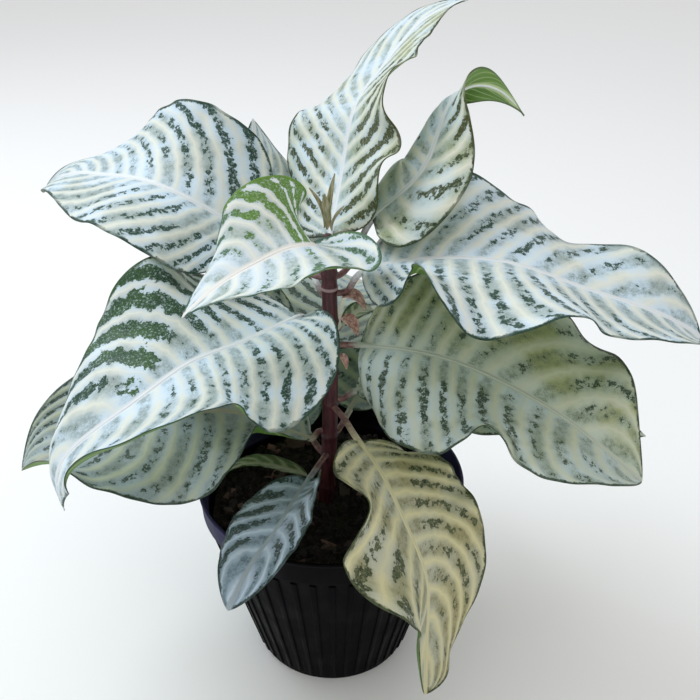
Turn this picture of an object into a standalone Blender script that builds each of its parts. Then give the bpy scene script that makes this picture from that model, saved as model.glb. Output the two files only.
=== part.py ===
# Potted zebra plant: a ribbed nursery pot, its soil, one stem with its growing tip, and the leaves.
# Metres, +Z up. The origin is the centre of the pot's underside, and the plant's front faces -Y.
import math
import random

import bmesh
import bpy
import numpy as np

# Pot
POT_HEIGHT = 0.116
RIM_RADIUS = 0.075
BASE_RADIUS = 0.045
NECK_RADIUS = 0.0715
NECK_HEIGHT = 0.101
WALL = 0.0014
FLOOR = 0.0018
RIB_COUNT = 44
RIB_DEPTH = 0.0011
RIB_BOTTOM = 0.004
RIB_TOP = 0.098
STEPS_PER_RIB = 3
DRAIN_COUNT = 6
DRAIN_RADIUS = 0.0045
DRAIN_CIRCLE = 0.030

# Soil
GAP = 0.0004
SOIL_HEIGHT = 0.0985
SOIL_SIDES = 38
CRUMB = 0.0013
CHIP_COUNT = 12
CHIP_SIZE = (0.011, 0.006, 0.006)

# Stem: its axis as (height, x, y), and the heights where leaves grow
STEM_AXIS = ((0.070, -0.003, 0.0), (0.100, -0.003, 0.0), (0.130, -0.001, 0.0),
             (0.165, 0.0, 0.0), (0.215, 0.0005, 0.0), (0.262, 0.0, 0.0))
STEM_RADIUS = 0.0046
STEM_TAPER = 0.0008
STEM_SIDES = 12
RING_SWELL = 0.0006
RING_HEIGHTS = (0.108, 0.130, 0.143, 0.164, 0.184, 0.203, 0.214, 0.228, 0.239)
RING_LENGTH = 0.006

# Leaves
BLADE = 0.0008
STALK_RADIUS = 0.0021
STALK_STATIONS = 4
ACROSS = (0.0, 0.34, 0.68, 1.0)
TROUGH = 12.0
CURL = 1.5
TIP_HALF_WIDTH = 0.0005
ROOT_GAP = 0.0004

# A leaf's frame stands on the pot's axis, turned to the leaf's heading in degrees from +X.
# root: the height where the stalk leaves the stem
# path: points along the midrib as (outward, sideways, up), the first one where the blade starts
# width: the widest half widths, right and left of the midrib
# shape: how the outline closes towards the base and the tip, a smaller number being blunter
# roll: the blade's turn about its midrib at equal steps from base to tip, in degrees
# right, left: how far each margin is lifted, in degrees, at equal steps from base to tip
# stations: how many rows of points the blade has
LEAVES = {
    "leaf_top": {
        "heading": 56, "root": 0.252, "width": (0.046, 0.043), "shape": (0.45, 1.0),
        "path": ((0.009, 0.005, 0.257), (0.033, 0.014, 0.283), (0.050, 0.018, 0.310),
                 (0.074, 0.017, 0.326), (0.100, 0.009, 0.346), (0.115, -0.010, 0.357)),
        "roll": (-10, -25, -20),
        "right": (-55, 30, -5, 35, 10, 5, -5, -5, 50),
        "left": (-30, -45, 0, 5, -25, -20, -10, -5, 20),
        "stations": 21,
    },
    "leaf_young": {
        "heading": 228, "root": 0.252, "width": (0.035, 0.036), "shape": (0.6, 1.0),
        "path": ((0.015, 0.001, 0.262), (0.024, 0.014, 0.268), (0.040, 0.015, 0.272),
                 (0.056, 0.009, 0.268), (0.071, 0.001, 0.260), (0.087, -0.007, 0.247)),
        "roll": (5, -30, 30),
        "right": (35, 110, 75, 35, 15, -5, -50, -25, 50),
        "left": (90, 85, 30, 65, 75, 65, 45, 20, -15),
        "stations": 21,
    },
    "leaf_upper_left": {
        "heading": 155, "root": 0.238, "width": (0.050, 0.044), "shape": (0.32, 0.9),
        "path": ((0.046, -0.004, 0.252), (0.073, 0.007, 0.270), (0.101, 0.010, 0.278),
                 (0.130, 0.005, 0.275), (0.158, 0.001, 0.270), (0.184, -0.005, 0.254)),
        "roll": (-20, -20, -15),
        "right": (20, 65, 75, 55, 25, -10, -55, -10, 70),
        "left": (-10, -10, -5, 0, -10, 10, 10, 10, 10),
        "stations": 21,
    },
    "leaf_upper_right": {
        "heading": 38, "root": 0.238, "width": (0.030, 0.036), "shape": (0.2, 1.35),
        "path": ((0.028, 0.0, 0.263), (0.040, -0.016, 0.284), (0.055, -0.015, 0.301),
                 (0.070, -0.013, 0.322), (0.092, -0.018, 0.322), (0.120, -0.013, 0.303)),
        "roll": (-15, 0, -10, -65, -85),
        "right": (20, -30, -55, -55, -35, 5, 40, 65, 60),
        "left": (-80, -90, -105, -100, -90, -55, -20, 10, 10),
        "stations": 21,
    },
    "leaf_right": {
        "heading": 2, "root": 0.230, "width": (0.058, 0.052), "shape": (0.45, 0.9),
        "path": ((0.016, -0.011, 0.246), (0.041, -0.010, 0.252), (0.083, -0.018, 0.254),
                 (0.120, -0.021, 0.242), (0.160, -0.023, 0.228), (0.190, -0.014, 0.208)),
        "roll": (5, 10, 30),
        "right": (-65, 20, 45, -40, 15, 15, 25, 45, 45),
        "left": (-70, -60, 60, 20, -5, -25, 40, 35, 50),
        "stations": 21,
    },
    "leaf_left": {
        "heading": 211, "root": 0.210, "width": (0.058, 0.058), "shape": (0.5, 1.15),
        "path": ((0.015, -0.003, 0.219), (0.049, 0.005, 0.219), (0.079, 0.006, 0.216),
                 (0.110, 0.008, 0.204), (0.143, 0.002, 0.181), (0.147, 0.002, 0.153)),
        "roll": (5, -20, 10),
        "right": (15, 15, 5, 40, -10, -10, -35, -40, 30),
        "left": (70, -15, -35, 25, 60, 70, 65, -35, -65),
        "stations": 21,
    },
    "leaf_lower_right": {
        "heading": 344, "root": 0.201, "width": (0.057, 0.056), "shape": (0.55, 0.8),
        "path": ((0.016, 0.002, 0.201), (0.046, -0.005, 0.206), (0.077, -0.001, 0.198),
                 (0.114, -0.005, 0.185), (0.140, -0.009, 0.171), (0.165, -0.007, 0.151)),
        "roll": (35, 25, 15),
        "right": (-60, -65, -25, 20, 65, 25, 15, 40, 45),
        "left": (5, 5, 5, 10, 5, -10, 65, 55, 35),
        "stations": 21,
    },
    "leaf_lower_left": {
        "heading": 189, "root": 0.146, "width": (0.049, 0.051), "shape": (0.65, 0.75),
        "path": ((0.012, 0.005, 0.145), (0.041, -0.006, 0.155), (0.073, -0.004, 0.163),
                 (0.104, -0.002, 0.160), (0.139, 0.0, 0.151), (0.164, 0.007, 0.143)),
        "roll": (5, -30, 5),
        "right": (0, 0, 0, 0, 0, 0, 20, 45, 15),
        "left": (20, 65, 70, 5, -30, 0, 30, 65, 55),
        "stations": 21,
    },
    "leaf_front_right": {
        "heading": 302, "root": 0.163, "width": (0.047, 0.048), "shape": (0.6, 0.75),
        "path": ((0.037, -0.005, 0.162), (0.057, -0.004, 0.153), (0.074, 0.0, 0.130),
                 (0.084, 0.006, 0.101), (0.092, 0.002, 0.075), (0.112, -0.013, 0.055)),
        "roll": (-10, -30, -20),
        "right": (65, 0, 45, -60, 10, 30, 35, 60, 70),
        "left": (20, -40, 5, 10, 30, 40, 25, -30, 65),
        "stations": 21,
    },
    "leaf_front_small": {
        "heading": 247, "root": 0.132, "width": (0.029, 0.029), "shape": (0.6, 0.75),
        "path": ((0.025, -0.002, 0.129), (0.043, -0.001, 0.130), (0.061, 0.002, 0.133),
                 (0.078, 0.002, 0.131), (0.095, 0.001, 0.129), (0.119, 0.001, 0.121)),
        "roll": (10, 30, -5),
        "right": (65, 25, 15, 20, 25, 10, -5, -5, 15),
        "left": (40, 70, 65, 45, 15, 5, 5, 5, 10),
        "stations": 15,
    },
    "leaf_under_right": {
        "heading": 4, "root": 0.166, "width": (0.034, 0.034), "shape": (0.55, 0.9),
        "path": ((0.014, 0.0, 0.171), (0.046, 0.0, 0.174), (0.080, 0.0, 0.167),
                 (0.113, 0.0, 0.157), (0.146, -0.001, 0.147), (0.178, -0.004, 0.136)),
        "roll": (0, 10, 10),
        "right": (5, -5, -20, -25, 10, 20, 15, 10, 5),
        "left": (0, 10, 15, 5, 0, 5, 10, 25, 40),
        "stations": 21,
    },
    "leaf_mid_left": {
        "heading": 164, "root": 0.201, "width": (0.040, 0.036), "shape": (0.5, 0.85),
        "path": ((0.020, 0.0, 0.202), (0.044, 0.003, 0.204), (0.068, 0.004, 0.204),
                 (0.092, 0.003, 0.199), (0.114, 0.0, 0.189), (0.132, -0.002, 0.176)),
        "roll": (-10, -10, 0),
        "right": (0, 20, 10, -15, 10, 25, 0, -15, 0),
        "left": (10, -15, 10, 20, 0, -10, 10, 15, 0),
        "stations": 15,
    },
    "leaf_back_young": {
        "heading": 119, "root": 0.226, "width": (0.028, 0.022), "shape": (1.2, 0.95),
        "path": ((0.014, 0.0, 0.230), (0.030, 0.0, 0.237), (0.047, 0.001, 0.247),
                 (0.064, 0.002, 0.259), (0.078, 0.002, 0.276), (0.087, 0.0, 0.298)),
        "roll": (0, 10, 20),
        "right": (15, 15, 15, 15, 10, 0, -10, -25, -30),
        "left": (15, 5, 0, 0, 5, 10, 15, 15, 15),
        "stations": 15,
    },
    "leaf_back": {
        "heading": 82, "root": 0.184, "width": (0.042, 0.042), "shape": (0.5, 0.9),
        "path": ((0.018, 0.0, 0.187), (0.045, 0.002, 0.190), (0.075, 0.003, 0.191),
                 (0.103, 0.0, 0.187), (0.128, -0.003, 0.177), (0.146, -0.004, 0.162)),
        "roll": (0, 5, 0),
        "right": (0, 25, -10, -30, 10, 30, 0, -20, 0),
        "left": (10, -15, -10, 0, 10, -10, 5, 20, 10),
        "stations": 15,
    },
    "leaf_back_left": {
        "heading": 132, "root": 0.128, "width": (0.038, 0.038), "shape": (0.55, 0.9),
        "path": ((0.022, 0.0, 0.135), (0.048, 0.002, 0.140), (0.076, 0.003, 0.141),
                 (0.104, 0.002, 0.134), (0.130, 0.0, 0.118), (0.150, -0.002, 0.096)),
        "roll": (0, -5, 0),
        "right": (0, -20, 10, 30, 5, -25, 0, 20, 0),
        "left": (20, 30, 5, -20, 0, 30, 20, -10, 0),
        "stations": 15,
    },
    "leaf_back_right": {
        "heading": 58, "root": 0.140, "width": (0.036, 0.040), "shape": (0.55, 0.9),
        "path": ((0.020, 0.0, 0.148), (0.044, 0.002, 0.156), (0.070, 0.003, 0.157),
                 (0.096, 0.002, 0.150), (0.120, 0.0, 0.137), (0.140, -0.002, 0.118)),
        "roll": (0, 5, 0),
        "right": (0, 20, 0, -25, 0, 25, 5, -10, 0),
        "left": (10, -15, 10, 30, 0, -20, 10, 20, 0),
        "stations": 15,
    },
    "leaf_small_curled": {
        "heading": 172, "root": 0.108, "width": (0.008, 0.008), "shape": (0.6, 0.8),
        "path": ((0.014, 0.0, 0.113), (0.025, 0.001, 0.117), (0.036, 0.001, 0.119),
                 (0.047, 0.0, 0.118), (0.057, -0.001, 0.113), (0.065, -0.002, 0.106)),
        "roll": (0, 10, 0),
        "right": (30, 30, 30),
        "left": (30, 30, 30),
        "stations": 9,
    },
    "leaf_small_side": {
        "heading": 40, "root": 0.206, "width": (0.006, 0.006), "shape": (0.6, 0.8),
        "path": ((0.009, 0.0, 0.208), (0.014, 0.0, 0.211), (0.019, 0.0, 0.213),
                 (0.024, 0.0, 0.213), (0.029, 0.0, 0.211), (0.033, 0.0, 0.206)),
        "roll": (0, 10, 0),
        "right": (20, 20, 20),
        "left": (20, 20, 20),
        "stations": 9,
    },
}

# Narrow scales of the growing tip and dried scales at two older leaf rings, as heading and path.
SCALES = {
    "tip_tall": (30, ((0.0, 0.0, 0.255), (0.001, 0.0, 0.267), (0.002, 0.0, 0.280), (0.004, 0.0, 0.292))),
    "tip_left": (170, ((0.0, 0.0, 0.255), (0.002, 0.0, 0.265), (0.004, 0.0, 0.276), (0.009, 0.0, 0.285))),
    "tip_front": (250, ((0.0, 0.0, 0.255), (0.0015, 0.0, 0.265), (0.003, 0.0, 0.275), (0.004, 0.0, 0.284))),
    "tip_right": (350, ((0.0, 0.0, 0.255), (0.002, 0.0, 0.264), (0.004, 0.0, 0.271), (0.008, 0.0, 0.277))),
    "old_right": (330, ((0.002, 0.0, 0.219), (0.008, 0.0, 0.221), (0.013, 0.0, 0.220), (0.017, 0.0, 0.215))),
    "old_front": (285, ((0.002, 0.0, 0.182), (0.008, 0.0, 0.184), (0.012, 0.0, 0.181), (0.014, 0.0, 0.175))),
}
SCALE_HALF_WIDTH = 0.0026
SCALE_THICKNESS = 0.0012


def clear_scene():
    for thing in list(bpy.data.objects):
        bpy.data.objects.remove(thing)


def make_material(name, colour, roughness):
    material = bpy.data.materials.new(name)
    material.use_nodes = True
    shader = material.node_tree.nodes["Principled BSDF"]
    shader.inputs["Base Color"].default_value = (*colour, 1.0)
    shader.inputs["Roughness"].default_value = roughness
    shader.inputs["Metallic"].default_value = 0.0
    return material


def add_object(name, bm, material):
    """Links the mesh to the scene, its faces turned outwards and its round parts shaded smooth."""
    bmesh.ops.recalc_face_normals(bm, faces=bm.faces)
    mesh = bpy.data.meshes.new(name)
    bm.to_mesh(mesh)
    bm.free()
    mesh.shade_smooth()
    mesh.set_sharp_from_angle(angle=math.radians(40))
    mesh.materials.append(material)
    thing = bpy.data.objects.new(name, mesh)
    bpy.context.scene.collection.objects.link(thing)
    return thing


def add_boolean(target, helper, operation):
    """Cuts or joins a helper, which the render leaves out."""
    helper.hide_render = True
    helper.display_type = "WIRE"
    change = target.modifiers.new(helper.name, "BOOLEAN")
    change.operation = operation
    change.solver = "EXACT"
    change.object = helper


def smooth_curve(values, where):
    """Natural cubic through equally spaced values, read at positions from 0 to 1."""
    values = np.array(values, float)
    last = len(values) - 1
    system = np.eye(last + 1)
    load = np.zeros(values.shape)
    for i in range(1, last):
        system[i, i - 1:i + 2] = (1, 4, 1)
        load[i] = 6 * (values[i - 1] - 2 * values[i] + values[i + 1])
    bend = np.linalg.solve(system, load)
    along = np.clip(where, 0, 1) * last
    i = np.minimum(along.astype(int), last - 1)
    b = along - i
    if values.ndim > 1:
        b = b[:, None]
    a = 1 - b
    cubic = (a**3 - a) * bend[i] + (b**3 - b) * bend[i + 1]
    return a * values[i] + b * values[i + 1] + cubic / 6


def unit(vectors):
    return vectors / np.linalg.norm(vectors, axis=-1, keepdims=True)


def wall_radius(height):
    return BASE_RADIUS + (NECK_RADIUS - BASE_RADIUS) * height / NECK_HEIGHT


def spin_profile(profile, steps):
    """Turns a profile of (radius, height) points about +Z into a closed body."""
    bm = bmesh.new()
    points = [bm.verts.new((radius, 0, height)) for radius, height in profile]
    edges = [bm.edges.new(pair) for pair in zip(points, points[1:])]
    bmesh.ops.spin(bm, geom=points + edges, cent=(0, 0, 0), axis=(0, 0, 1), angle=math.tau, steps=steps,
                   use_merge=True)
    bmesh.ops.remove_doubles(bm, verts=bm.verts, dist=1e-6)
    return bm


def raise_ribs(bm):
    """Pushes one of every three columns of the outer wall outwards, so they stand as thin upright ribs."""
    columns = RIB_COUNT * STEPS_PER_RIB
    for vert in bm.verts:
        radius = math.hypot(vert.co.x, vert.co.y)
        on_wall = abs(radius - wall_radius(vert.co.z)) < 1e-5
        if not on_wall or not RIB_BOTTOM - 1e-5 < vert.co.z < RIB_TOP + 1e-5:
            continue
        column = round(math.atan2(vert.co.y, vert.co.x) / math.tau * columns) % STEPS_PER_RIB
        if column == 0:
            push = (radius + RIB_DEPTH) / radius
            vert.co.x *= push
            vert.co.y *= push


def make_pot(material):
    outer = [(wall_radius(height), height) for height in (0.002, RIB_BOTTOM, RIB_TOP)]
    band = [(NECK_RADIUS, NECK_HEIGHT - 0.001), (RIM_RADIUS - 0.0015, NECK_HEIGHT + 0.001),
            (RIM_RADIUS - 0.0006, 0.114), (RIM_RADIUS, 0.1147), (RIM_RADIUS, POT_HEIGHT)]
    inner = [(RIM_RADIUS - 0.0018, POT_HEIGHT), (RIM_RADIUS - 0.0029, NECK_HEIGHT + 0.002),
             (wall_radius(NECK_HEIGHT) - WALL, NECK_HEIGHT), (wall_radius(FLOOR) - WALL, FLOOR)]
    profile = [(0, 0), (BASE_RADIUS - 0.002, 0)] + outer + band + inner + [(0, FLOOR)]
    bm = spin_profile(profile, RIB_COUNT * STEPS_PER_RIB)
    raise_ribs(bm)
    pot = add_object("pot", bm, material)
    for i in range(DRAIN_COUNT):
        angle = math.tau * (i + 0.5) / DRAIN_COUNT
        bm = bmesh.new()
        bmesh.ops.create_cone(bm, segments=16, radius1=DRAIN_RADIUS, radius2=DRAIN_RADIUS, depth=4 * FLOOR,
                              cap_ends=True)
        hole = add_object(f"drain_hole_{i}", bm, material)
        hole.location = (DRAIN_CIRCLE * math.cos(angle), DRAIN_CIRCLE * math.sin(angle), FLOOR / 2)
        add_boolean(pot, hole, "DIFFERENCE")


def make_soil(material):
    """Fills the pot to below its inner step, with an uneven top, bark chips and a plain hole for the stem."""
    numbers = random.Random(7)
    inside = [(wall_radius(height) - WALL - GAP, height) for height in (FLOOR + GAP, SOIL_HEIGHT - 0.003)]
    top_radius = inside[-1][0]
    top = [(top_radius * share, SOIL_HEIGHT) for share in (0.95, 0.84, 0.72, 0.58, 0.44, 0.28, 0.12)]
    bm = spin_profile([(0, FLOOR + GAP)] + inside + top + [(0, SOIL_HEIGHT)], SOIL_SIDES)
    for vert in bm.verts:
        if vert.co.z > SOIL_HEIGHT - 1e-5:
            vert.co.z += numbers.uniform(-CRUMB, CRUMB)
            vert.co.x += numbers.uniform(-CRUMB, CRUMB) / 2
            vert.co.y += numbers.uniform(-CRUMB, CRUMB) / 2
    soil = add_object("soil", bm, material)
    for i in range(CHIP_COUNT):
        angle = math.tau * (i + numbers.uniform(0, 0.6)) / CHIP_COUNT
        reach = numbers.uniform(0.020, 0.055)
        bm = bmesh.new()
        bmesh.ops.create_cube(bm, size=1)
        bmesh.ops.scale(bm, vec=CHIP_SIZE, verts=bm.verts)
        chip = add_object(f"bark_chip_{i}", bm, material)
        chip.location = (reach * math.cos(angle), reach * math.sin(angle), SOIL_HEIGHT - CRUMB / 2)
        chip.rotation_euler = (numbers.uniform(-0.3, 0.3), numbers.uniform(-0.3, 0.3), numbers.uniform(0, 3))
        add_boolean(soil, chip, "UNION")
    low, x, y = STEM_AXIS[0]
    radius = STEM_RADIUS + GAP
    bm = bmesh.new()
    bmesh.ops.create_cone(bm, segments=24, radius1=radius, radius2=radius, depth=0.06, cap_ends=True)
    hole = add_object("stem_hole", bm, material)
    hole.location = (x, y, low - GAP + 0.03)
    add_boolean(soil, hole, "DIFFERENCE")


def stem_centre(height):
    heights, xs, ys = zip(*STEM_AXIS)
    return np.array((np.interp(height, heights, xs), np.interp(height, heights, ys)))


def stem_radius(height):
    """The stem's radius between its rings."""
    low, high = STEM_AXIS[0][0], STEM_AXIS[-1][0]
    return STEM_RADIUS - STEM_TAPER * (height - low) / (high - low)


def make_stem(material):
    """One upright stem with a swollen ring under each leaf, its scales joined on."""
    low, high = STEM_AXIS[0][0], STEM_AXIS[-1][0]
    plain = [low, *[height for height, x, y in STEM_AXIS[1:-1]], high - 0.002]
    for ring in RING_HEIGHTS:
        plain += [ring - RING_LENGTH / 2, ring + RING_LENGTH / 2]
    sizes = {height: stem_radius(height) for height in plain}
    sizes.update((ring, stem_radius(ring) + RING_SWELL) for ring in RING_HEIGHTS)
    sizes[high] = 0.6 * stem_radius(high)
    bm = bmesh.new()
    loops = []
    for height, radius in sorted(sizes.items()):
        centre = stem_centre(height)
        angles = [math.tau * k / STEM_SIDES for k in range(STEM_SIDES)]
        loop = [bm.verts.new((centre[0] + radius * math.cos(a), centre[1] + radius * math.sin(a), height))
                for a in angles]
        loops.append(loop)
    for lower, upper in zip(loops, loops[1:]):
        for k in range(STEM_SIDES):
            after = (k + 1) % STEM_SIDES
            bm.faces.new((lower[k], lower[after], upper[after], upper[k]))
    bm.faces.new(loops[0][::-1])
    bm.faces.new(loops[-1])
    stem = add_object("stem", bm, material)
    for name, (heading, path) in SCALES.items():
        scale = {"heading": heading, "width": (SCALE_HALF_WIDTH, SCALE_HALF_WIDTH), "shape": (0.7, 0.9),
                 "roll": (0, 0), "right": (25, 25), "left": (25, 25)}
        bm = blade_body(scale, path, 1, 5, SCALE_THICKNESS, SCALE_THICKNESS)
        add_boolean(stem, add_object(name, bm, material), "UNION")


def midrib(path, where):
    """A leaf's middle line: a stalk that leaves the stem squarely, then a smooth curve along the blade."""
    path = np.array(path)
    start = 1 / (len(path) - 1)
    base, beyond = smooth_curve(path, np.array((start, start + 1e-4)))
    third = np.linalg.norm(base - path[0]) / 3
    first = path[0] + (third, 0, 0)
    second = base - third * unit(beyond - base)
    s = np.clip(where / start, 0, 1)[:, None]
    stalk = (1 - s)**3 * path[0] + 3 * (1 - s)**2 * s * first + 3 * (1 - s) * s**2 * second + s**3 * base
    return np.where(where[:, None] < start, stalk, smooth_curve(path, where))


def midrib_frames(path, heading, where):
    """Points along the middle line with two directions there: to the left and up from the blade."""
    turn = math.radians(heading)
    left = np.array((-math.sin(turn), math.cos(turn), 0))
    axes = np.stack(((math.cos(turn), math.sin(turn), 0), left, (0, 0, 1)))
    step = 1e-4
    points = midrib(path, where) @ axes
    ahead = midrib(path, np.minimum(where + step, 1)) - midrib(path, np.maximum(where - step, 0))
    along = unit(ahead @ axes)
    side = unit(left - (along @ left)[:, None] * along)
    return points, side, np.cross(along, side)


def outline(where, shape):
    """The blade's half width as a share of its widest, from base to tip."""
    base, tip = shape
    widest = base / (base + tip)
    where = np.clip(where, 1e-9, 1 - 1e-9)
    return (where / widest) ** base * ((1 - where) / (1 - widest)) ** tip


def half_section(spec, side_name, half_widths, along_blade, on_stalk):
    """How far out and up each point across one half of the blade lies, from the midrib to the margin."""
    margin = np.radians(smooth_curve(spec[side_name], along_blade))
    trough = math.radians(TROUGH)
    out = [np.zeros(len(along_blade))]
    up = [np.zeros(len(along_blade))]
    parts = 6
    for inner, outer in zip(ACROSS, ACROSS[1:]):
        step = (outer - inner) / parts
        x, y = out[-1], up[-1]
        for j in range(parts):
            share = inner + step * (j + 0.5)
            tilt = np.where(on_stalk, 0, trough + (margin - trough) * share**CURL)
            x = x + half_widths * step * np.cos(tilt)
            y = y + half_widths * step * np.sin(tilt)
        out.append(x)
        up.append(y)
    return np.stack(out, 1), np.stack(up, 1)


def blade_body(spec, path, stalk_stations, blade_stations, thickness, stalk_radius):
    """One closed body: a round stalk that opens into a waved blade with its midrib raised below."""
    start = 1 / (len(path) - 1)
    where = np.concatenate((np.linspace(0, start, stalk_stations, endpoint=False),
                            np.linspace(start, 1, blade_stations)))
    on_stalk = where < start
    along_blade = np.clip((where - start) / (1 - start), 0, 1)
    points, side, up = midrib_frames(path, spec["heading"], where)
    roll = np.radians(smooth_curve(spec["roll"], along_blade))[:, None]
    side, up = np.cos(roll) * side + np.sin(roll) * up, np.cos(roll) * up - np.sin(roll) * side
    least = np.where(where <= start, stalk_radius, TIP_HALF_WIDTH)
    rows = []
    reach = []
    for sign, side_name, widest in ((-1, "right", spec["width"][0]), (1, "left", spec["width"][1])):
        half_widths = np.maximum(widest * outline(along_blade, spec["shape"]), least)
        out, rise = half_section(spec, side_name, half_widths, along_blade, on_stalk)
        rows.append(points[:, None] + sign * out[..., None] * side[:, None] + rise[..., None] * up[:, None])
        reach.append(half_widths[:, None] * np.array(ACROSS))
    middle = np.concatenate((rows[0][:, :0:-1], rows[1]), 1)
    reach = np.concatenate((reach[0][:, :0:-1], reach[1]), 1)
    normal = unit(np.cross(np.gradient(middle, axis=0), np.gradient(middle, axis=1)))
    normal = np.where(on_stalk[:, None, None], up[:, None], normal)
    rib = stalk_radius * (1 - 0.75 * along_blade)[:, None]
    below = np.maximum(thickness / 2, np.sqrt(np.maximum(0, rib**2 - reach**2)))
    stalk_share = np.clip(1 - along_blade / 0.08, 0, 1)[:, None]
    above = thickness / 2 + (below - thickness / 2) * stalk_share
    return join_skins(middle + above[..., None] * normal, middle - below[..., None] * normal)


def join_skins(top, bottom):
    """Joins the two faces of a blade, split into triangles alike, along both margins and at both ends."""
    bm = bmesh.new()
    skins = [[[bm.verts.new(point) for point in row] for row in skin] for skin in (top, bottom)]
    upper, lower = skins
    last = len(upper) - 1
    edge = len(upper[0]) - 1
    for i in range(last):
        for rows, flip in ((upper, False), (lower, True)):
            for k in range(edge):
                for face in ((rows[i][k], rows[i + 1][k], rows[i + 1][k + 1]),
                             (rows[i][k], rows[i + 1][k + 1], rows[i][k + 1])):
                    bm.faces.new(face[::-1] if flip else face)
        for k in (0, edge):
            bm.faces.new((upper[i][k], upper[i + 1][k], lower[i + 1][k]))
            bm.faces.new((upper[i][k], lower[i + 1][k], lower[i][k]))
    for i in (0, last):
        for k in range(edge):
            bm.faces.new((upper[i][k], upper[i][k + 1], lower[i][k + 1], lower[i][k]))
    return bm


def make_leaf(name, spec, material):
    turn = math.radians(spec["heading"])
    centre = stem_centre(spec["root"])
    outward = centre @ (math.cos(turn), math.sin(turn))
    sideways = centre @ (-math.sin(turn), math.cos(turn))
    near_ring = min(abs(spec["root"] - ring) for ring in RING_HEIGHTS) < RING_LENGTH
    reach = stem_radius(spec["root"]) + (RING_SWELL if near_ring else 0) + ROOT_GAP
    root = (outward + reach, sideways, spec["root"])
    path = (root, *spec["path"])
    bm = blade_body(spec, path, STALK_STATIONS, spec["stations"], BLADE, STALK_RADIUS)
    add_object(name, bm, material)


clear_scene()
pot_plastic = make_material("pot_plastic", (0.012, 0.012, 0.016), 0.4)
potting_soil = make_material("potting_soil", (0.030, 0.020, 0.016), 0.95)
stem_skin = make_material("stem_skin", (0.100, 0.016, 0.022), 0.45)
leaf_blade = make_material("leaf_blade", (0.480, 0.580, 0.440), 0.45)
make_pot(pot_plastic)
make_soil(potting_soil)
make_stem(stem_skin)
for leaf_name, leaf_spec in LEAVES.items():
    make_leaf(leaf_name, leaf_spec, leaf_blade)
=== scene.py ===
import math
import random

import bpy
import numpy as np
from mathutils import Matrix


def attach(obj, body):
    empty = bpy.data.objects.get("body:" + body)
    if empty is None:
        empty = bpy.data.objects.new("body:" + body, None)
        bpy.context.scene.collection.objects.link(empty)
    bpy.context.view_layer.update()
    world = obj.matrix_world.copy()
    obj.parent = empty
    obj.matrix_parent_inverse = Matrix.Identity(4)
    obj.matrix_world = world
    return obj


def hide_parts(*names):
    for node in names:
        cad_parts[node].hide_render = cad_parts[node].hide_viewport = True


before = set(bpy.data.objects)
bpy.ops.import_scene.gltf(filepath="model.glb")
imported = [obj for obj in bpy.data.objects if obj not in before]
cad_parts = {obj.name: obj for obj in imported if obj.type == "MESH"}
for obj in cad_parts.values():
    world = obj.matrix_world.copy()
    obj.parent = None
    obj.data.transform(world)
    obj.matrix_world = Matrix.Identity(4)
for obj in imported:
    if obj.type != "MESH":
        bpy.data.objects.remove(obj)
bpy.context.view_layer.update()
print("frame: the packed part is in")


# Shader maths: a wire is one output of a node, and sums of wires add their own nodes
class Wire:
    def __init__(self, tree, socket=None):
        self.tree = tree
        self.socket = socket

    def node(self, kind, settings=None, values=None, output=0):
        made = self.tree.nodes.new(kind)
        for key, value in (settings or {}).items():
            setattr(made, key, value)
        for key, value in (values or {}).items():
            if isinstance(value, Wire):
                self.tree.links.new(value.socket, made.inputs[key])
            else:
                made.inputs[key].default_value = value
        return Wire(self.tree, made.outputs[output])

    def maths(self, operation, first, second):
        return self.node("ShaderNodeMath", {"operation": operation}, {0: first, 1: second})

    def __add__(self, other):
        return self.maths("ADD", self, other)

    def __radd__(self, other):
        return self.maths("ADD", other, self)

    def __sub__(self, other):
        return self.maths("SUBTRACT", self, other)

    def __rsub__(self, other):
        return self.maths("SUBTRACT", other, self)

    def __mul__(self, other):
        return self.maths("MULTIPLY", self, other)

    def __rmul__(self, other):
        return self.maths("MULTIPLY", other, self)

    def most(self, other):
        return self.maths("MAXIMUM", self, other)

    def ramp(self, low, high, start=0.0, end=1.0):
        # a smooth step from start to end while the wire goes from low to high
        values = {"Value": self, "From Min": low, "From Max": high, "To Min": start, "To Max": end}
        return self.node("ShaderNodeMapRange", {"interpolation_type": "SMOOTHSTEP"}, values)

    def mix(self, first, second):
        # a colour: the first where the wire is 0, the second where it is 1
        values = {"Factor": self, 6: opaque(first), 7: opaque(second)}
        return self.node("ShaderNodeMix", {"data_type": "RGBA"}, values, output=2)

    def attribute(self, name):
        return self.node("ShaderNodeAttribute", {"attribute_name": name}, output="Fac")

    def noise(self, vector, scale, detail=3.0, roughness=0.55):
        return self.node("ShaderNodeTexNoise", None,
                         {"Vector": vector, "Scale": scale, "Detail": detail, "Roughness": roughness})

    def here(self):
        return self.node("ShaderNodeTexCoord", output="Object")

    def part(self, name):
        # one coordinate of a vector: X, Y or Z
        return self.node("ShaderNodeSeparateXYZ", None, {0: self}, output=name)

    def size(self):
        return self.node("ShaderNodeMath", {"operation": "ABSOLUTE"}, {0: self})

    def bump(self, strength, distance):
        values = {"Strength": strength, "Distance": distance, "Height": self}
        return self.node("ShaderNodeBump", None, values)


def opaque(colour):
    return colour if isinstance(colour, Wire) else (*colour, 1.0)


def newMaterial(name):
    # the material, its principled shader and a wire to build from
    material = bpy.data.materials.new(name)
    material.use_nodes = True
    tree = material.node_tree
    return material, tree.nodes["Principled BSDF"], Wire(tree)


def plug(shader, values):
    for key, value in values.items():
        if isinstance(value, Wire):
            value.tree.links.new(value.socket, shader.inputs[key])
        else:
            shader.inputs[key].default_value = value


# Small tools shared by the pieces
def deselect():
    bpy.ops.object.select_all(action="DESELECT")


def pick(piece):
    deselect()
    piece.select_set(True)
    bpy.context.view_layer.objects.active = piece


def finishPiece(piece, node):
    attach(piece, "root")
    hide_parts(node)


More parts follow.
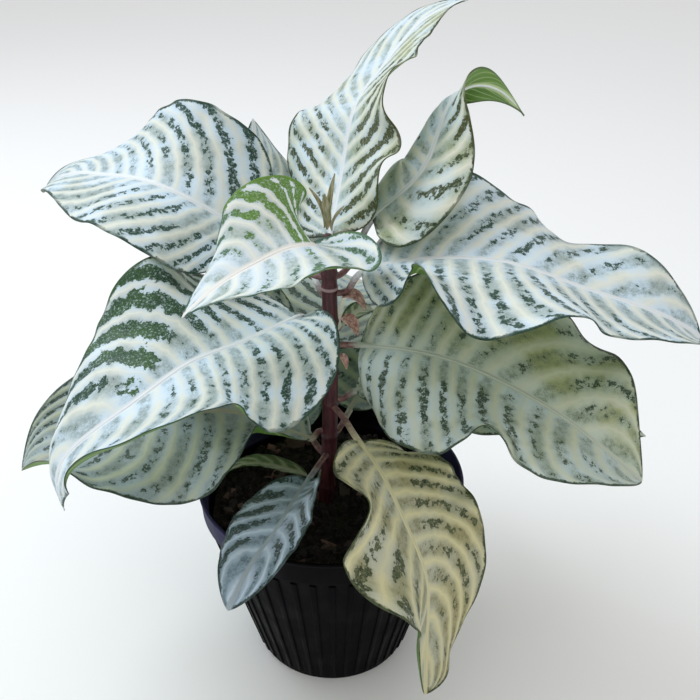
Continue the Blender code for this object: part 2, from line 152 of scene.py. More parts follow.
def readPoints(mesh):
    points = np.empty(len(mesh.vertices) * 3, np.float32)
    mesh.vertices.foreach_get("co", points)
    return points.reshape(-1, 3).astype(float)


def writePoints(mesh, points):
    mesh.vertices.foreach_set("co", np.asarray(points, np.float32).ravel())
    mesh.update()


def writeAttribute(mesh, name, values):
    layer = mesh.attributes.new(name, "FLOAT", "POINT")
    layer.data.foreach_set("value", np.asarray(values, np.float32).ravel())


def unit(vectors):
    return vectors / np.linalg.norm(vectors, axis=-1, keepdims=True)


def smoothCurve(values, where):
    # a natural cubic through equally spaced values, read at places from 0 to 1
    values = np.array(values, float)
    last = len(values) - 1
    system = np.eye(last + 1)
    load = np.zeros(values.shape)
    for i in range(1, last):
        system[i, i - 1:i + 2] = (1, 4, 1)
        load[i] = 6 * (values[i - 1] - 2 * values[i] + values[i + 1])
    bend = np.linalg.solve(system, load)
    along = np.clip(where, 0, 1) * last
    i = np.minimum(along.astype(int), last - 1)
    b = along - i
    if values.ndim > 1:
        b = b[:, None]
    a = 1 - b
    return a * values[i] + b * values[i + 1] + ((a**3 - a) * bend[i] + (b**3 - b) * bend[i + 1]) / 6


def smoothStep(values, low, high):
    share = np.clip((values - low) / (high - low), 0, 1)
    return share * share * (3 - 2 * share)


def turnOutwards():
    bpy.ops.object.mode_set(mode="EDIT")
    bpy.ops.mesh.select_all(action="SELECT")
    bpy.ops.mesh.normals_make_consistent(inside=False)
    bpy.ops.object.mode_set(mode="OBJECT")


def tube(name, points, radii, roundness=3):
    # a bevelled curve turned into a mesh, its radius given at each point
    deselect()
    bpy.ops.curve.primitive_nurbs_path_add()
    curve = bpy.context.object
    curve.name = name
    curve.data.splines.clear()
    line = curve.data.splines.new("POLY")
    line.points.add(len(points) - 1)
    for spot, point, radius in zip(line.points, points, radii):
        spot.co = (*point, 1)
        spot.radius = radius
    curve.data.bevel_depth = 1.0
    curve.data.bevel_resolution = roundness
    curve.data.use_fill_caps = True
    bpy.ops.object.convert(target="MESH")
    piece = bpy.context.object
    bpy.ops.object.transform_apply(location=True, rotation=True, scale=True)
    turnOutwards()
    bpy.ops.object.shade_smooth()
    spots = np.array(points)
    ends = readPoints(piece.data)
    nearest = np.linalg.norm(ends[:, None] - spots[None], axis=2).argmin(1)
    writeAttribute(piece.data, "along", nearest / (len(points) - 1))
    return piece


# The stem's axis as (height, x, y), shared by the leaves that grow from it
stemDesign = {
    "axis": ((0.070, -0.003, 0.0), (0.100, -0.003, 0.0), (0.130, -0.001, 0.0),
             (0.165, 0.0, 0.0), (0.215, 0.0005, 0.0), (0.262, 0.0, 0.0)),
    "radius": 0.0046,
    "taper": 0.0008,
    "rings": (0.108, 0.130, 0.143, 0.164, 0.184, 0.203, 0.214, 0.233, 0.241),
    "scar": 0.233,
    "ringSwell": 0.0006,
    "ringWidth": 0.0016,
    "stalkGap": 0.0004,  # a stalk's path starts this far from the ring
    "steps": 180,
    "top": (0.98, 0.94, 0.87, 0.76, 0.6, 0.35),  # how the last steps close in
}


def stemCentre(height):
    heights, xs, ys = zip(*stemDesign["axis"])
    return np.array((np.interp(height, heights, xs), np.interp(height, heights, ys)))


def stemRadius(height):
    low, high = stemDesign["axis"][0][0], stemDesign["axis"][-1][0]
    return stemDesign["radius"] - stemDesign["taper"] * (height - low) / (high - low)


# Leaves, in the same shapes as in the part's source. Heading is the way a leaf points, in degrees,
# root is where the stalk leaves the stem, path runs along the midrib as (outward, sideways, up)
# from the pot's axis, width and shape give the outline, roll, right and left bend the blade.
# Veins on each side: how many, how they spread, where they start, their lean, sweep and bend.
# Green on each side: how much dark green lies between the veins at the base, middle and tip.
leafShapes = {
    "leaf_top": {
        "heading": 56, "root": 0.252, "width": (0.046, 0.043), "shape": (0.45, 1.0),
        "path": ((0.009, 0.005, 0.257), (0.033, 0.014, 0.283), (0.050, 0.018, 0.310),
                 (0.074, 0.017, 0.326), (0.100, 0.009, 0.346), (0.115, -0.010, 0.357)),
        "roll": (-10, -25, -20),
        "right": (-55, 30, -5, 35, 10, 5, -5, -5, 50),
        "left": (-30, -45, 0, 5, -25, -20, -10, -5, 20),
        "leftVeins": (22.0, -0.42, 0.69, 0.12, 0.27, 0.9),
        "rightVeins": (21.0, -0.38, 0.14, 0.03, 0.37, 1.25),
        "leftGreen": (1.3, 1.2, 0.5, 0.2, 0.1), "rightGreen": (1.5, 1.6, 1.4, 0.3, 0.1),
        "look": "crown",
    },
    "leaf_young": {
        "heading": 228, "root": 0.252, "width": (0.035, 0.036), "shape": (0.6, 1.0),
        "path": ((0.015, 0.001, 0.262), (0.024, 0.014, 0.268), (0.040, 0.015, 0.272),
                 (0.056, 0.009, 0.268), (0.071, 0.001, 0.260), (0.087, -0.007, 0.247)),
        "roll": (5, -30, 30),
        "right": (35, 110, 75, 35, 15, -5, -50, -25, 50),
        "left": (90, 85, 30, 65, 75, 65, 45, 20, -15),
        "leftVeins": (9.7, -0.07, 0.37, 0.12, 0.07, 1.8),
        "rightVeins": (15.9, -0.36, 0.64, 0.03, 0.31, 1.9),
        "leftGreen": (0.8, 1.1, 1.1, 0.7, 0.3), "rightGreen": (2.6, 2.4, 1.8, 0.9, 0.4),
        "look": "young",
    },
    "leaf_upper_left": {
        "heading": 155, "root": 0.238, "width": (0.050, 0.044), "shape": (0.32, 0.9),
        "path": ((0.046, -0.004, 0.252), (0.073, 0.007, 0.270), (0.101, 0.010, 0.278),
                 (0.130, 0.005, 0.275), (0.158, 0.001, 0.270), (0.184, -0.005, 0.254)),
        "roll": (-20, -20, -15),
        "right": (20, 65, 75, 55, 25, -10, -55, -10, 70),
        "left": (-10, -10, -5, 0, -10, 10, 10, 10, 10),
        "leftVeins": (18.8, -0.38, 0.1, 0.12, 0.21, 1.05),
        "rightVeins": (12.0, 0.16, 0.6, 0.12, 0.36, 1.5),
        "leftGreen": (0.9, 1.2, 0.8, 0.1, 0.2), "rightGreen": (1.1, 1.2, 0.8, 0.2, 0.1),
        "look": "sunny",
    },
    "leaf_upper_right": {
        "heading": 38, "root": 0.238, "width": (0.030, 0.036), "shape": (0.2, 1.35),
        "path": ((0.028, 0.0, 0.263), (0.040, -0.016, 0.284), (0.055, -0.015, 0.301),
                 (0.070, -0.013, 0.322), (0.092, -0.018, 0.322), (0.120, -0.013, 0.303)),
        "roll": (-15, 0, -10, -65, -85),
        "right": (20, -30, -55, -55, -35, 5, 40, 65, 60),
        "left": (-80, -90, -105, -100, -90, -55, -20, 10, 10),
        "leftVeins": (12.0, 0.0, 0.2, 0.05, 0.3, 1.3),
        "rightVeins": (12.0, 0.0, 0.5, 0.05, 0.3, 1.3),
        "leftGreen": (0.4, 0.5, 0.6, 0.6, 0.5), "rightGreen": (0.6, 1.1, 1.7, 1.5, 0.8),
        "look": "crown",
    },
    "leaf_right": {
        "heading": 2, "root": 0.230, "width": (0.058, 0.052), "shape": (0.45, 0.9),
        "path": ((0.016, -0.011, 0.246), (0.041, -0.010, 0.252), (0.083, -0.018, 0.254),
                 (0.120, -0.021, 0.242), (0.160, -0.023, 0.228), (0.190, -0.014, 0.208)),
        "roll": (5, 10, 30),
        "right": (-65, 20, 45, -40, 15, 15, 25, 45, 45),
        "left": (-70, -60, 60, 20, -5, -25, 40, 35, 50),
        "leftVeins": (21.8, -0.45, 0.12, 0.12, 0.12, 1.1),
        "rightVeins": (24.0, -0.25, 0.59, 0.02, 0.13, 2.0),
        "leftGreen": (0.8, 0.8, 0.9, 0.5, 0.6), "rightGreen": (1.2, 1.0, 1.1, 0.9, 0.6),
        "look": "sunny",
    },
    "leaf_left": {
        "heading": 211, "root": 0.210, "width": (0.058, 0.058), "shape": (0.5, 1.15),
        "path": ((0.015, -0.003, 0.219), (0.049, 0.005, 0.219), (0.079, 0.006, 0.216),
                 (0.110, 0.008, 0.204), (0.143, 0.002, 0.181), (0.147, 0.002, 0.153)),
        "roll": (5, -20, 10),
        "right": (15, 15, 5, 40, -10, -10, -35, -40, 30),
        "left": (70, -15, -35, 25, 60, 70, 65, -35, -65),
        "leftVeins": (24.0, -0.4, 0.0, 0.05, 0.25, 1.5),
        "rightVeins": (16.4, -0.4, 0.23, 0.08, 0.3, 1.7),
        "leftGreen": (1.0, 1.2, 1.1, 0.8, 0.7, 0.6, 0.6, 0.7, 3.0),
        "rightGreen": (1.4, 1.4, 1.6, 1.9, 2.1, 1.8, 1.3, 0.9, 3.0),
        "look": "sunny",
    },
    "leaf_lower_right": {
        "heading": 344, "root": 0.201, "width": (0.057, 0.056), "shape": (0.55, 0.8),
        "path": ((0.016, 0.002, 0.201), (0.046, -0.005, 0.206), (0.077, -0.001, 0.198),
                 (0.114, -0.005, 0.185), (0.140, -0.009, 0.171), (0.165, -0.007, 0.151)),
        "roll": (35, 25, 15),
        "right": (-60, -65, -25, 20, 65, 25, 15, 40, 45),
        "left": (5, 5, 5, 10, 5, -10, 65, 55, 35),
        "leftVeins": (19.2, -0.43, 0.26, 0.03, 0.3, 1.25),
        "rightVeins": (20.0, -0.32, 0.0, 0.01, 0.19, 2.0),
        "leftGreen": (0.8, 0.5, 0.5, 0.8, 0.2), "rightGreen": (1.0, 1.0, 1.1, 0.6, 0.3),
        "look": "olive",
    },
    "leaf_lower_left": {
        "heading": 189, "root": 0.146, "width": (0.049, 0.051), "shape": (0.65, 0.75),
        "path": ((0.012, 0.005, 0.145), (0.041, -0.006, 0.155), (0.073, -0.004, 0.163),
                 (0.104, -0.002, 0.160), (0.139, 0.0, 0.151), (0.164, 0.007, 0.143)),
        "roll": (5, -30, 5),
        "right": (0, 0, 0, 0, 0, 0, 20, 45, 15),
        "left": (20, 65, 70, 5, -30, 0, 30, 65, 55),
        "leftVeins": (13.9, -0.07, 0.76, -0.02, 0.38, 1.8),
        "rightVeins": (14.0, -0.1, 0.5, 0.1, 0.3, 1.7),
        "leftGreen": (0.7, 0.9, 0.7, 0.7, 0.6), "rightGreen": (0.9, 1.0, 1.0, 1.1, 0.9),
        "look": "shade",
    },
    "leaf_front_right": {
        "heading": 302, "root": 0.163, "width": (0.047, 0.048), "shape": (0.6, 0.75),
        "path": ((0.037, -0.005, 0.162), (0.057, -0.004, 0.153), (0.074, 0.0, 0.130),
                 (0.084, 0.006, 0.101), (0.092, 0.002, 0.075), (0.112, -0.013, 0.055)),
        "roll": (-10, -30, -20),
        "right": (65, 0, 45, -60, 10, 30, 35, 60, 70),
        "left": (20, -40, 5, 10, 30, 40, 25, -30, 65),
        "leftVeins": (14.2, -0.25, 0.31, 0.12, 0.28, 1.5),
        "rightVeins": (13.1, -0.34, 0.11, 0.09, 0.13, 1.2),
        "leftGreen": (0.9, 1.2, 0.9, 0.8, 0.6), "rightGreen": (1.6, 0.9, 1.2, 0.7, 0.5),
        "look": "beige",
    },
    "leaf_front_small": {
        "heading": 247, "root": 0.132, "width": (0.029, 0.029), "shape": (0.6, 0.75),
        "path": ((0.025, -0.002, 0.129), (0.043, -0.001, 0.130), (0.061, 0.002, 0.133),
                 (0.078, 0.002, 0.131), (0.095, 0.001, 0.129), (0.119, 0.001, 0.121)),
        "roll": (10, 30, -5),
        "right": (65, 25, 15, 20, 25, 10, -5, -5, 15),
        "left": (40, 70, 65, 45, 15, 5, 5, 5, 10),
        "leftVeins": (11.3, -0.31, 0.95, 0.12, 0.25, 1.6),
        "rightVeins": (8.4, -0.27, 0.22, 0.0, 0.36, 2.0),
        "leftGreen": (1.5, 1.5, 1.4, 1.2, 1.0), "rightGreen": (2.0, 2.0, 1.8, 1.5, 1.0),
        "look": "blue",
    },
    "leaf_under_right": {
        "heading": 4, "root": 0.166, "width": (0.034, 0.034), "shape": (0.55, 0.9),
        "path": ((0.014, 0.0, 0.171), (0.046, 0.0, 0.174), (0.080, 0.0, 0.167),
                 (0.113, 0.0, 0.157), (0.146, -0.001, 0.147), (0.178, -0.004, 0.136)),
        "roll": (0, 10, 10),
        "right": (5, -5, -20, -25, 10, 20, 15, 10, 5),
        "left": (0, 10, 15, 5, 0, 5, 10, 25, 40),
        "leftVeins": (14, 0.0, 0.2, 0.05, 0.3, 1.6),
        "rightVeins": (14, 0.0, 0.6, 0.05, 0.3, 1.6),
        "leftGreen": (0.8, 0.8, 0.8), "rightGreen": (0.8, 0.8, 0.8), "look": "olive",
    },
    "leaf_mid_left": {
        "heading": 164, "root": 0.201, "width": (0.040, 0.036), "shape": (0.5, 0.85),
        "path": ((0.020, 0.0, 0.202), (0.044, 0.003, 0.204), (0.068, 0.004, 0.204),
                 (0.092, 0.003, 0.199), (0.114, 0.0, 0.189), (0.132, -0.002, 0.176)),
        "roll": (-10, -10, 0),
        "right": (0, 20, 10, -15, 10, 25, 0, -15, 0),
        "left": (10, -15, 10, 20, 0, -10, 10, 15, 0),
        "leftVeins": (15.0, -0.2, 0.3, 0.05, 0.3, 1.6),
        "rightVeins": (15.0, -0.2, 0.7, 0.05, 0.3, 1.6),
        "leftGreen": (1.2, 1.2, 1.0, 0.8, 0.8), "rightGreen": (1.4, 1.4, 1.2, 1.0, 0.8),
        "look": "shade",
    },
    "leaf_back_young": {
        "heading": 119, "root": 0.226, "width": (0.028, 0.022), "shape": (1.2, 0.95),
        "path": ((0.014, 0.0, 0.230), (0.030, 0.0, 0.237), (0.047, 0.001, 0.247),
                 (0.064, 0.002, 0.259), (0.078, 0.002, 0.276), (0.087, 0.0, 0.298)),
        "roll": (0, 10, 20),
        "right": (15, 15, 15, 15, 10, 0, -10, -25, -30),
        "left": (15, 5, 0, 0, 5, 10, 15, 15, 15),
        "leftVeins": (10, 0.0, 0.2, 0.05, 0.3, 1.6),
        "rightVeins": (10, 0.0, 0.6, 0.05, 0.3, 1.6),
        "leftGreen": (0.5, 0.5, 0.5), "rightGreen": (0.5, 0.5, 0.6), "look": "sunny",
    },
    "leaf_back": {
        "heading": 82, "root": 0.184, "width": (0.042, 0.042), "shape": (0.5, 0.9),
        "path": ((0.018, 0.0, 0.187), (0.045, 0.002, 0.190), (0.075, 0.003, 0.191),
                 (0.103, 0.0, 0.187), (0.128, -0.003, 0.177), (0.146, -0.004, 0.162)),
        "roll": (0, 5, 0),
        "right": (0, 25, -10, -30, 10, 30, 0, -20, 0),
        "left": (10, -15, -10, 0, 10, -10, 5, 20, 10),
        "leftVeins": (13, 0.0, 0.3, 0.05, 0.3, 1.6),
        "rightVeins": (13, 0.0, 0.7, 0.05, 0.3, 1.6),
        "leftGreen": (1.5, 1.3, 1.0), "rightGreen": (1.5, 1.3, 1.0), "look": "shade",
    },
    "leaf_back_left": {
        "heading": 132, "root": 0.128, "width": (0.038, 0.038), "shape": (0.55, 0.9),
        "path": ((0.022, 0.0, 0.135), (0.048, 0.002, 0.140), (0.076, 0.003, 0.141),
                 (0.104, 0.002, 0.134), (0.130, 0.0, 0.118), (0.150, -0.002, 0.096)),
        "roll": (0, -5, 0),
        "right": (0, -20, 10, 30, 5, -25, 0, 20, 0),
        "left": (20, 30, 5, -20, 0, 30, 20, -10, 0),
        "leftVeins": (13, 0.0, 0.1, 0.05, 0.3, 1.6),
        "rightVeins": (13, 0.0, 0.5, 0.05, 0.3, 1.6),
        "leftGreen": (0.8, 0.7, 0.6), "rightGreen": (0.8, 0.6, 0.7), "look": "shade",
    },
    "leaf_back_right": {
        "heading": 58, "root": 0.140, "width": (0.036, 0.040), "shape": (0.55, 0.9),
        "path": ((0.020, 0.0, 0.148), (0.044, 0.002, 0.156), (0.070, 0.003, 0.157),
                 (0.096, 0.002, 0.150), (0.120, 0.0, 0.137), (0.140, -0.002, 0.118)),
        "roll": (0, 5, 0),
        "right": (0, 20, 0, -25, 0, 25, 5, -10, 0),
        "left": (10, -15, 10, 30, 0, -20, 10, 20, 0),
        "leftVeins": (13, 0.0, 0.8, 0.05, 0.3, 1.6),
        "rightVeins": (13, 0.0, 0.2, 0.05, 0.3, 1.6),
        "leftGreen": (0.7, 0.7, 0.6), "rightGreen": (0.8, 0.7, 0.5), "look": "shade",
    },
    "leaf_small_curled": {
        "heading": 172, "root": 0.108, "width": (0.008, 0.008), "shape": (0.6, 0.8),
        "path": ((0.014, 0.0, 0.113), (0.025, 0.001, 0.117), (0.036, 0.001, 0.119),
                 (0.047, 0.0, 0.118), (0.057, -0.001, 0.113), (0.065, -0.002, 0.106)),
        "roll": (0, 10, 0),
        "right": (30, 30, 30),
        "left": (30, 30, 30),
        "leftVeins": (7, 0.0, 0.1, 0.05, 0.3, 1.6),
        "rightVeins": (7, 0.0, 0.5, 0.05, 0.3, 1.6),
        "leftGreen": (1.4, 1.4, 1.4), "rightGreen": (1.4, 1.4, 1.4), "look": "small",
    },
    "leaf_small_side": {
        "heading": 40, "root": 0.206, "width": (0.006, 0.006), "shape": (0.6, 0.8),
        "path": ((0.009, 0.0, 0.208), (0.014, 0.0, 0.211), (0.019, 0.0, 0.213),
                 (0.024, 0.0, 0.213), (0.029, 0.0, 0.211), (0.033, 0.0, 0.206)),
        "roll": (0, 10, 0),
        "right": (20, 20, 20),
        "left": (20, 20, 20),
        "leftVeins": (6, 0.0, 0.1, 0.05, 0.3, 1.6),
        "rightVeins": (6, 0.0, 0.5, 0.05, 0.3, 1.6),
        "leftGreen": (1.2, 1.2, 1.2), "rightGreen": (1.2, 1.2, 1.2), "look": "small",
    },
}

bladeDesign = {
    "trough": 12.0,  # degrees each half rises from the midrib
    "curl": 1.5,
    "thickness": 0.0005,
    "stalkRadius": 0.0017,
    "ribRadius": 0.0014,
    "ribRise": 0.0002,  # how far the midrib stands above the blade
    "ribEnd": 0.97,  # where the midrib runs out, as a share of the blade
    "ribTaper": 0.78,
    "smallWidth": 0.03,  # leaves narrower than this have thinner stalks
    "ridge": 0.024,  # height of the vein ridges, as a share of their spacing
    "ridgeStart": (1.0, 9.0),  # millimetres from the midrib over which the ridges rise
    "ridgeEnd": (0.0, 5.0),  # and from the margin
    "ripple": 0.0045,  # how far the margin waves, as a share of the leaf's length
    "rippleWaves": (6.3, 11.7),
    "rippleShare": 0.6,  # of the second wave
    "rippleSides": 2.1,  # how far the right margin's waves are behind the left one's
    "rippleStart": (0.0, 25.0),  # millimetres from the ends over which it sets in
    "rows": 132,
    "columns": 42,  # on each side of the midrib
    "stalkRings": 14,
    "ribRings": 70,
}

# Added to the right half's vein numbers and run, so that a material can tell the halves apart
rightVein = 60
rightRun = 400

# Sizes of the leaves' noises, in waves a millimetre, and how the green patches form from them
leafPattern = {
    "blots": 0.28, "broad": 0.055, "fine": 1.3, "cells": 0.75, "specks": 0.95,
    "wander": 0.16, "wanderShare": 0.35,  # the veins' own waver
    "lushFrom": 1.5, "lushShare": 0.20,  # where the green is strong it leaves only thin veins
    "gap": (0.30, 0.80),  # how near the veins the patches come
    "reach": (2.0, 20.0),  # millimetres from the midrib over which the green sets in
    "reachStir": 36.0,
    "level": 0.80, "greenShare": 0.40,  # the higher the level, the fewer the patches
    "soft": (-0.03, 0.06),  # how sharp the patches' outlines are
    "speckled": (0.54, 0.62), "speckShare": 0.60,
    "margin": (1.7, 0.8),  # millimetres from the edge over which the dark margin fades
    "glow": (0.62, 0.12), "core": (0.30, 0.06), "coreShare": 0.85,  # the veins' bands
    "midrib": (2.2, 0.9),
    "roughness": 0.40, "roughStir": 0.14, "specular": 0.28, "bump": (0.45, 0.0008),
}

# Colours in linear light, and shares. The ground between the veins and the share of painted bluish sky
# sheen on it are given left and right of the midrib; the two halves differ partly by painted light.
# Green, leaf and fresh are the greens of the patches, and freshFrom is the amount of green from which
# they turn fresh. Glow is the veins' soft band.
# The looks are partly each leaf's own tint and partly painted light and shade: sunny and crown are lit
# copies, while shade, olive, beige and blue are shaded copies for the lower leaves under the others.
leafLooks = {
    "sunny": {
        "ground": ((0.430, 0.510, 0.500), (0.430, 0.510, 0.500)), "paintedSkySheen": (0.620, 0.770, 0.900),
        "paintedSheenShare": (0.75, 0.75), "vein": (0.760, 0.770, 0.670), "shadow": (0.190, 0.250, 0.230),
        "green": (0.012, 0.040, 0.024), "leaf": (0.030, 0.074, 0.050), "fresh": (0.045, 0.115, 0.018),
        "rib": (0.740, 0.780, 0.800), "glow": 0.62, "freshFrom": 1.5,
    },
    "crown": {
        "ground": ((0.460, 0.520, 0.470), (0.380, 0.430, 0.250)), "paintedSkySheen": (0.620, 0.770, 0.900),
        "paintedSheenShare": (0.75, 0.5), "vein": (0.760, 0.760, 0.640), "shadow": (0.220, 0.260, 0.180),
        "green": (0.018, 0.038, 0.018), "leaf": (0.050, 0.076, 0.034), "fresh": (0.072, 0.078, 0.016),
        "rib": (0.740, 0.780, 0.800), "glow": 0.62, "freshFrom": 0.9,
    },
    "young": {
        "ground": ((0.500, 0.570, 0.540), (0.500, 0.570, 0.540)), "paintedSkySheen": (0.640, 0.760, 0.880),
        "paintedSheenShare": (0.6, 0.6), "vein": (0.800, 0.810, 0.720), "shadow": (0.260, 0.340, 0.280),
        "green": (0.030, 0.085, 0.050), "leaf": (0.070, 0.150, 0.110), "fresh": (0.130, 0.260, 0.030),
        "rib": (0.800, 0.780, 0.740), "glow": 0.62, "freshFrom": 0.9,
    },
    "olive": {
        "ground": ((0.345, 0.385, 0.190), (0.320, 0.385, 0.325)), "paintedSkySheen": (0.530, 0.640, 0.660),
        "paintedSheenShare": (0.30, 0.85), "vein": (0.580, 0.610, 0.460), "shadow": (0.160, 0.200, 0.130),
        "green": (0.022, 0.042, 0.026), "leaf": (0.065, 0.100, 0.062), "fresh": (0.080, 0.120, 0.030),
        "rib": (0.500, 0.550, 0.470), "glow": 0.62, "freshFrom": 1.3,
    },
    "shade": {
        "ground": ((0.250, 0.310, 0.280), (0.250, 0.310, 0.280)), "paintedSkySheen": (0.380, 0.470, 0.510),
        "paintedSheenShare": (0.6, 0.6), "vein": (0.460, 0.500, 0.350), "shadow": (0.130, 0.170, 0.140),
        "green": (0.018, 0.038, 0.026), "leaf": (0.055, 0.085, 0.058), "fresh": (0.060, 0.100, 0.028),
        "rib": (0.460, 0.460, 0.360), "glow": 0.62, "freshFrom": 1.5,
    },
    "beige": {
        "ground": ((0.370, 0.345, 0.185), (0.350, 0.345, 0.215)), "paintedSkySheen": (0.470, 0.500, 0.430),
        "paintedSheenShare": (0.35, 0.60), "vein": (0.660, 0.620, 0.360), "shadow": (0.190, 0.180, 0.080),
        "green": (0.024, 0.036, 0.016), "leaf": (0.075, 0.095, 0.038), "fresh": (0.075, 0.085, 0.020),
        "rib": (0.610, 0.580, 0.360), "glow": 0.62, "freshFrom": 1.5,
    },
    "blue": {
        "ground": ((0.210, 0.300, 0.345), (0.230, 0.320, 0.390)), "paintedSkySheen": (0.420, 0.530, 0.680),
        "paintedSheenShare": (0.5, 0.6), "vein": (0.600, 0.720, 0.840), "shadow": (0.080, 0.130, 0.140),
        "green": (0.014, 0.032, 0.026), "leaf": (0.042, 0.076, 0.068), "fresh": (0.040, 0.080, 0.040),
        "rib": (0.370, 0.440, 0.490), "glow": 0.36, "freshFrom": 1.8,
    },
    "small": {
        "ground": ((0.160, 0.220, 0.110), (0.160, 0.220, 0.110)), "paintedSkySheen": (0.200, 0.260, 0.160),
        "paintedSheenShare": (0.3, 0.3), "vein": (0.380, 0.420, 0.280), "shadow": (0.080, 0.120, 0.050),
        "green": (0.030, 0.060, 0.020), "leaf": (0.070, 0.110, 0.040), "fresh": (0.080, 0.130, 0.040),
        "rib": (0.400, 0.420, 0.300), "glow": 0.62, "freshFrom": 1.5,
    },
}


def leafAxes(leaf):
    # the directions outwards, to the left and up
    turn = math.radians(leaf["heading"])
    c, s = math.cos(turn), math.sin(turn)
    return np.array(((c, s, 0), (-s, c, 0), (0, 0, 1)))


def leafFrames(leaf, where):
    # points on the midrib, and the directions to the left and up from the blade, before its roll
    axes = leafAxes(leaf)
    left = axes[1]
    path = fullPath(leaf)
    step = 1e-4
    points = smoothCurve(path, where) @ axes
    behind, ahead = np.maximum(where - step, 0), np.minimum(where + step, 1)
    along = unit((smoothCurve(path, ahead) - smoothCurve(path, behind)) @ axes)
    side = unit(left - (along @ left)[:, None] * along)
    return points, side, np.cross(along, side)


def fullPath(leaf):
    # the leaf's path with the place on the stem where its stalk starts
    outward, sideways = leafAxes(leaf)[:2, :2] @ stemCentre(leaf["root"])
    reach = stemRadius(leaf["root"]) + stemDesign["ringSwell"] + stemDesign["stalkGap"]
    return np.array(((outward + reach, sideways, leaf["root"]), *leaf["path"]))


def leafOutline(along, shape):
    base, tip = shape
    widest = base / (base + tip)
    along = np.clip(along, 1e-9, 1 - 1e-9)
    return (along / widest) ** base * ((1 - along) / (1 - widest)) ** tip


def leafSurface(leaf, rows, columns):
    # the blade's middle surface, from base to tip and from the left margin to the right one
    start = 1 / len(leaf["path"])
    along = np.linspace(0, 1, rows + 1)
    where = start + (1 - start) * along
    points, side, up = leafFrames(leaf, where)
    roll = np.radians(smoothCurve(leaf["roll"], along))[:, None]
    side, up = np.cos(roll) * side + np.sin(roll) * up, np.cos(roll) * up - np.sin(roll) * side
    middle = (np.arange(columns) + 0.5) / columns
    trough = math.radians(bladeDesign["trough"])
    halves = []
    widths = []
    for sign, name, widest in ((1, "left", leaf["width"][1]), (-1, "right", leaf["width"][0])):
        width = np.maximum(widest * leafOutline(along, leaf["shape"]), 0.0004)
        margin = np.radians(smoothCurve(leaf[name], along))[:, None]
        tilt = trough + (margin - trough) * middle**bladeDesign["curl"]
        step = width[:, None] / columns
        out = np.concatenate((np.zeros((rows + 1, 1)), np.cumsum(step * np.cos(tilt), 1)), 1)
        rise = np.concatenate((np.zeros((rows + 1, 1)), np.cumsum(step * np.sin(tilt), 1)), 1)
        sideways, upwards = sign * out[..., None] * side[:, None], rise[..., None] * up[:, None]
        halves.append(points[:, None] + sideways + upwards)
        widths.append(width)
    grid = np.concatenate((halves[0][:, :0:-1], halves[1]), 1)
    return grid, along, widths


def veinPhase(veins, along, across):
    # whole numbers lie on the lateral veins
    count, spread, start, lean, sweep, bend = veins
    place = along - (lean + sweep * along) * across**bend
    return start + count * (place + spread * place * place)


def makeBlade(name, leaf, rows, columns, materials):
    d = bladeDesign
    grid, along, widths = leafSurface(leaf, rows, columns)
    normals = unit(np.cross(np.gradient(grid, axis=0), -np.gradient(grid, axis=1)))
    u, v = np.meshgrid(along, np.linspace(1, -1, 2 * columns + 1), indexing="ij")
    onLeft = v > 0
    v = np.abs(v)
    width = np.where(onLeft, widths[0][:, None], widths[1][:, None])
    phase = np.where(onLeft, veinPhase(leaf["leftVeins"], u, v),
                     rightVein + veinPhase(leaf["rightVeins"], u, v))
    # distances from the midrib, the ends and the margin, in millimetres
    rib = v * width * 1000
    length = np.linalg.norm(np.diff(grid[:, columns], axis=0), axis=1).sum()
    fromEnds = np.minimum(u, 1 - u) * length * 1000
    edge = np.minimum((1 - v) * width * 1000, fromEnds * 0.6)
    run = u * length * 1000 + np.where(onLeft, 0, rightRun)
    # the lateral veins stand up as soft ridges
    count = np.where(onLeft, leaf["leftVeins"][0], leaf["rightVeins"][0])
    spread = np.where(onLeft, leaf["leftVeins"][1], leaf["rightVeins"][1])
    spacing = length / count / np.maximum(1 + 2 * spread * u, 0.3)
    ridge = d["ridge"] * spacing * (0.5 + 0.5 * np.cos(math.tau * phase))
    ridge *= smoothStep(rib, *d["ridgeStart"]) * smoothStep(edge, *d["ridgeEnd"])
    # the margin ripples a little, each side in its own time
    turn = leaf["heading"] + np.where(onLeft, 0.0, d["rippleSides"])
    first, second = d["rippleWaves"]
    ripple = np.sin(math.tau * first * u + turn)
    ripple += d["rippleShare"] * np.sin(math.tau * second * u + 2.3 * turn)
    ripple *= d["ripple"] * length * v**3 * smoothStep(fromEnds, *d["rippleStart"])
    ripple *= (width / width.max())**1.5
    grid = grid + (ridge - ridge.mean() + ripple)[..., None] * normals
    green = np.where(onLeft, smoothCurve(leaf["leftGreen"], along)[:, None],
                     smoothCurve(leaf["rightGreen"], along)[:, None])

    deselect()
    bpy.ops.mesh.primitive_grid_add(x_subdivisions=2 * columns, y_subdivisions=rows, size=2)
    blade = bpy.context.object
    blade.name = name + "_blade"
    mesh = blade.data
    flat = readPoints(mesh)
    column = np.rint((flat[:, 0] + 1) / 2 * 2 * columns).astype(int)
    row = np.rint((flat[:, 1] + 1) / 2 * rows).astype(int)
    writePoints(mesh, grid[row, column])
    for title, values in (("vein", phase), ("run", run), ("rib", rib), ("edge", edge), ("green", green)):
        writeAttribute(mesh, title, values[row, column])
    for material in materials:
        mesh.materials.append(material)
    thick = blade.modifiers.new("thickness", "SOLIDIFY")
    thick.thickness = d["thickness"]
    thick.offset = 0
    thick.material_offset = len(materials) - 1
    bpy.ops.object.modifier_apply(modifier=thick.name)
    bpy.ops.object.shade_smooth()
    return blade


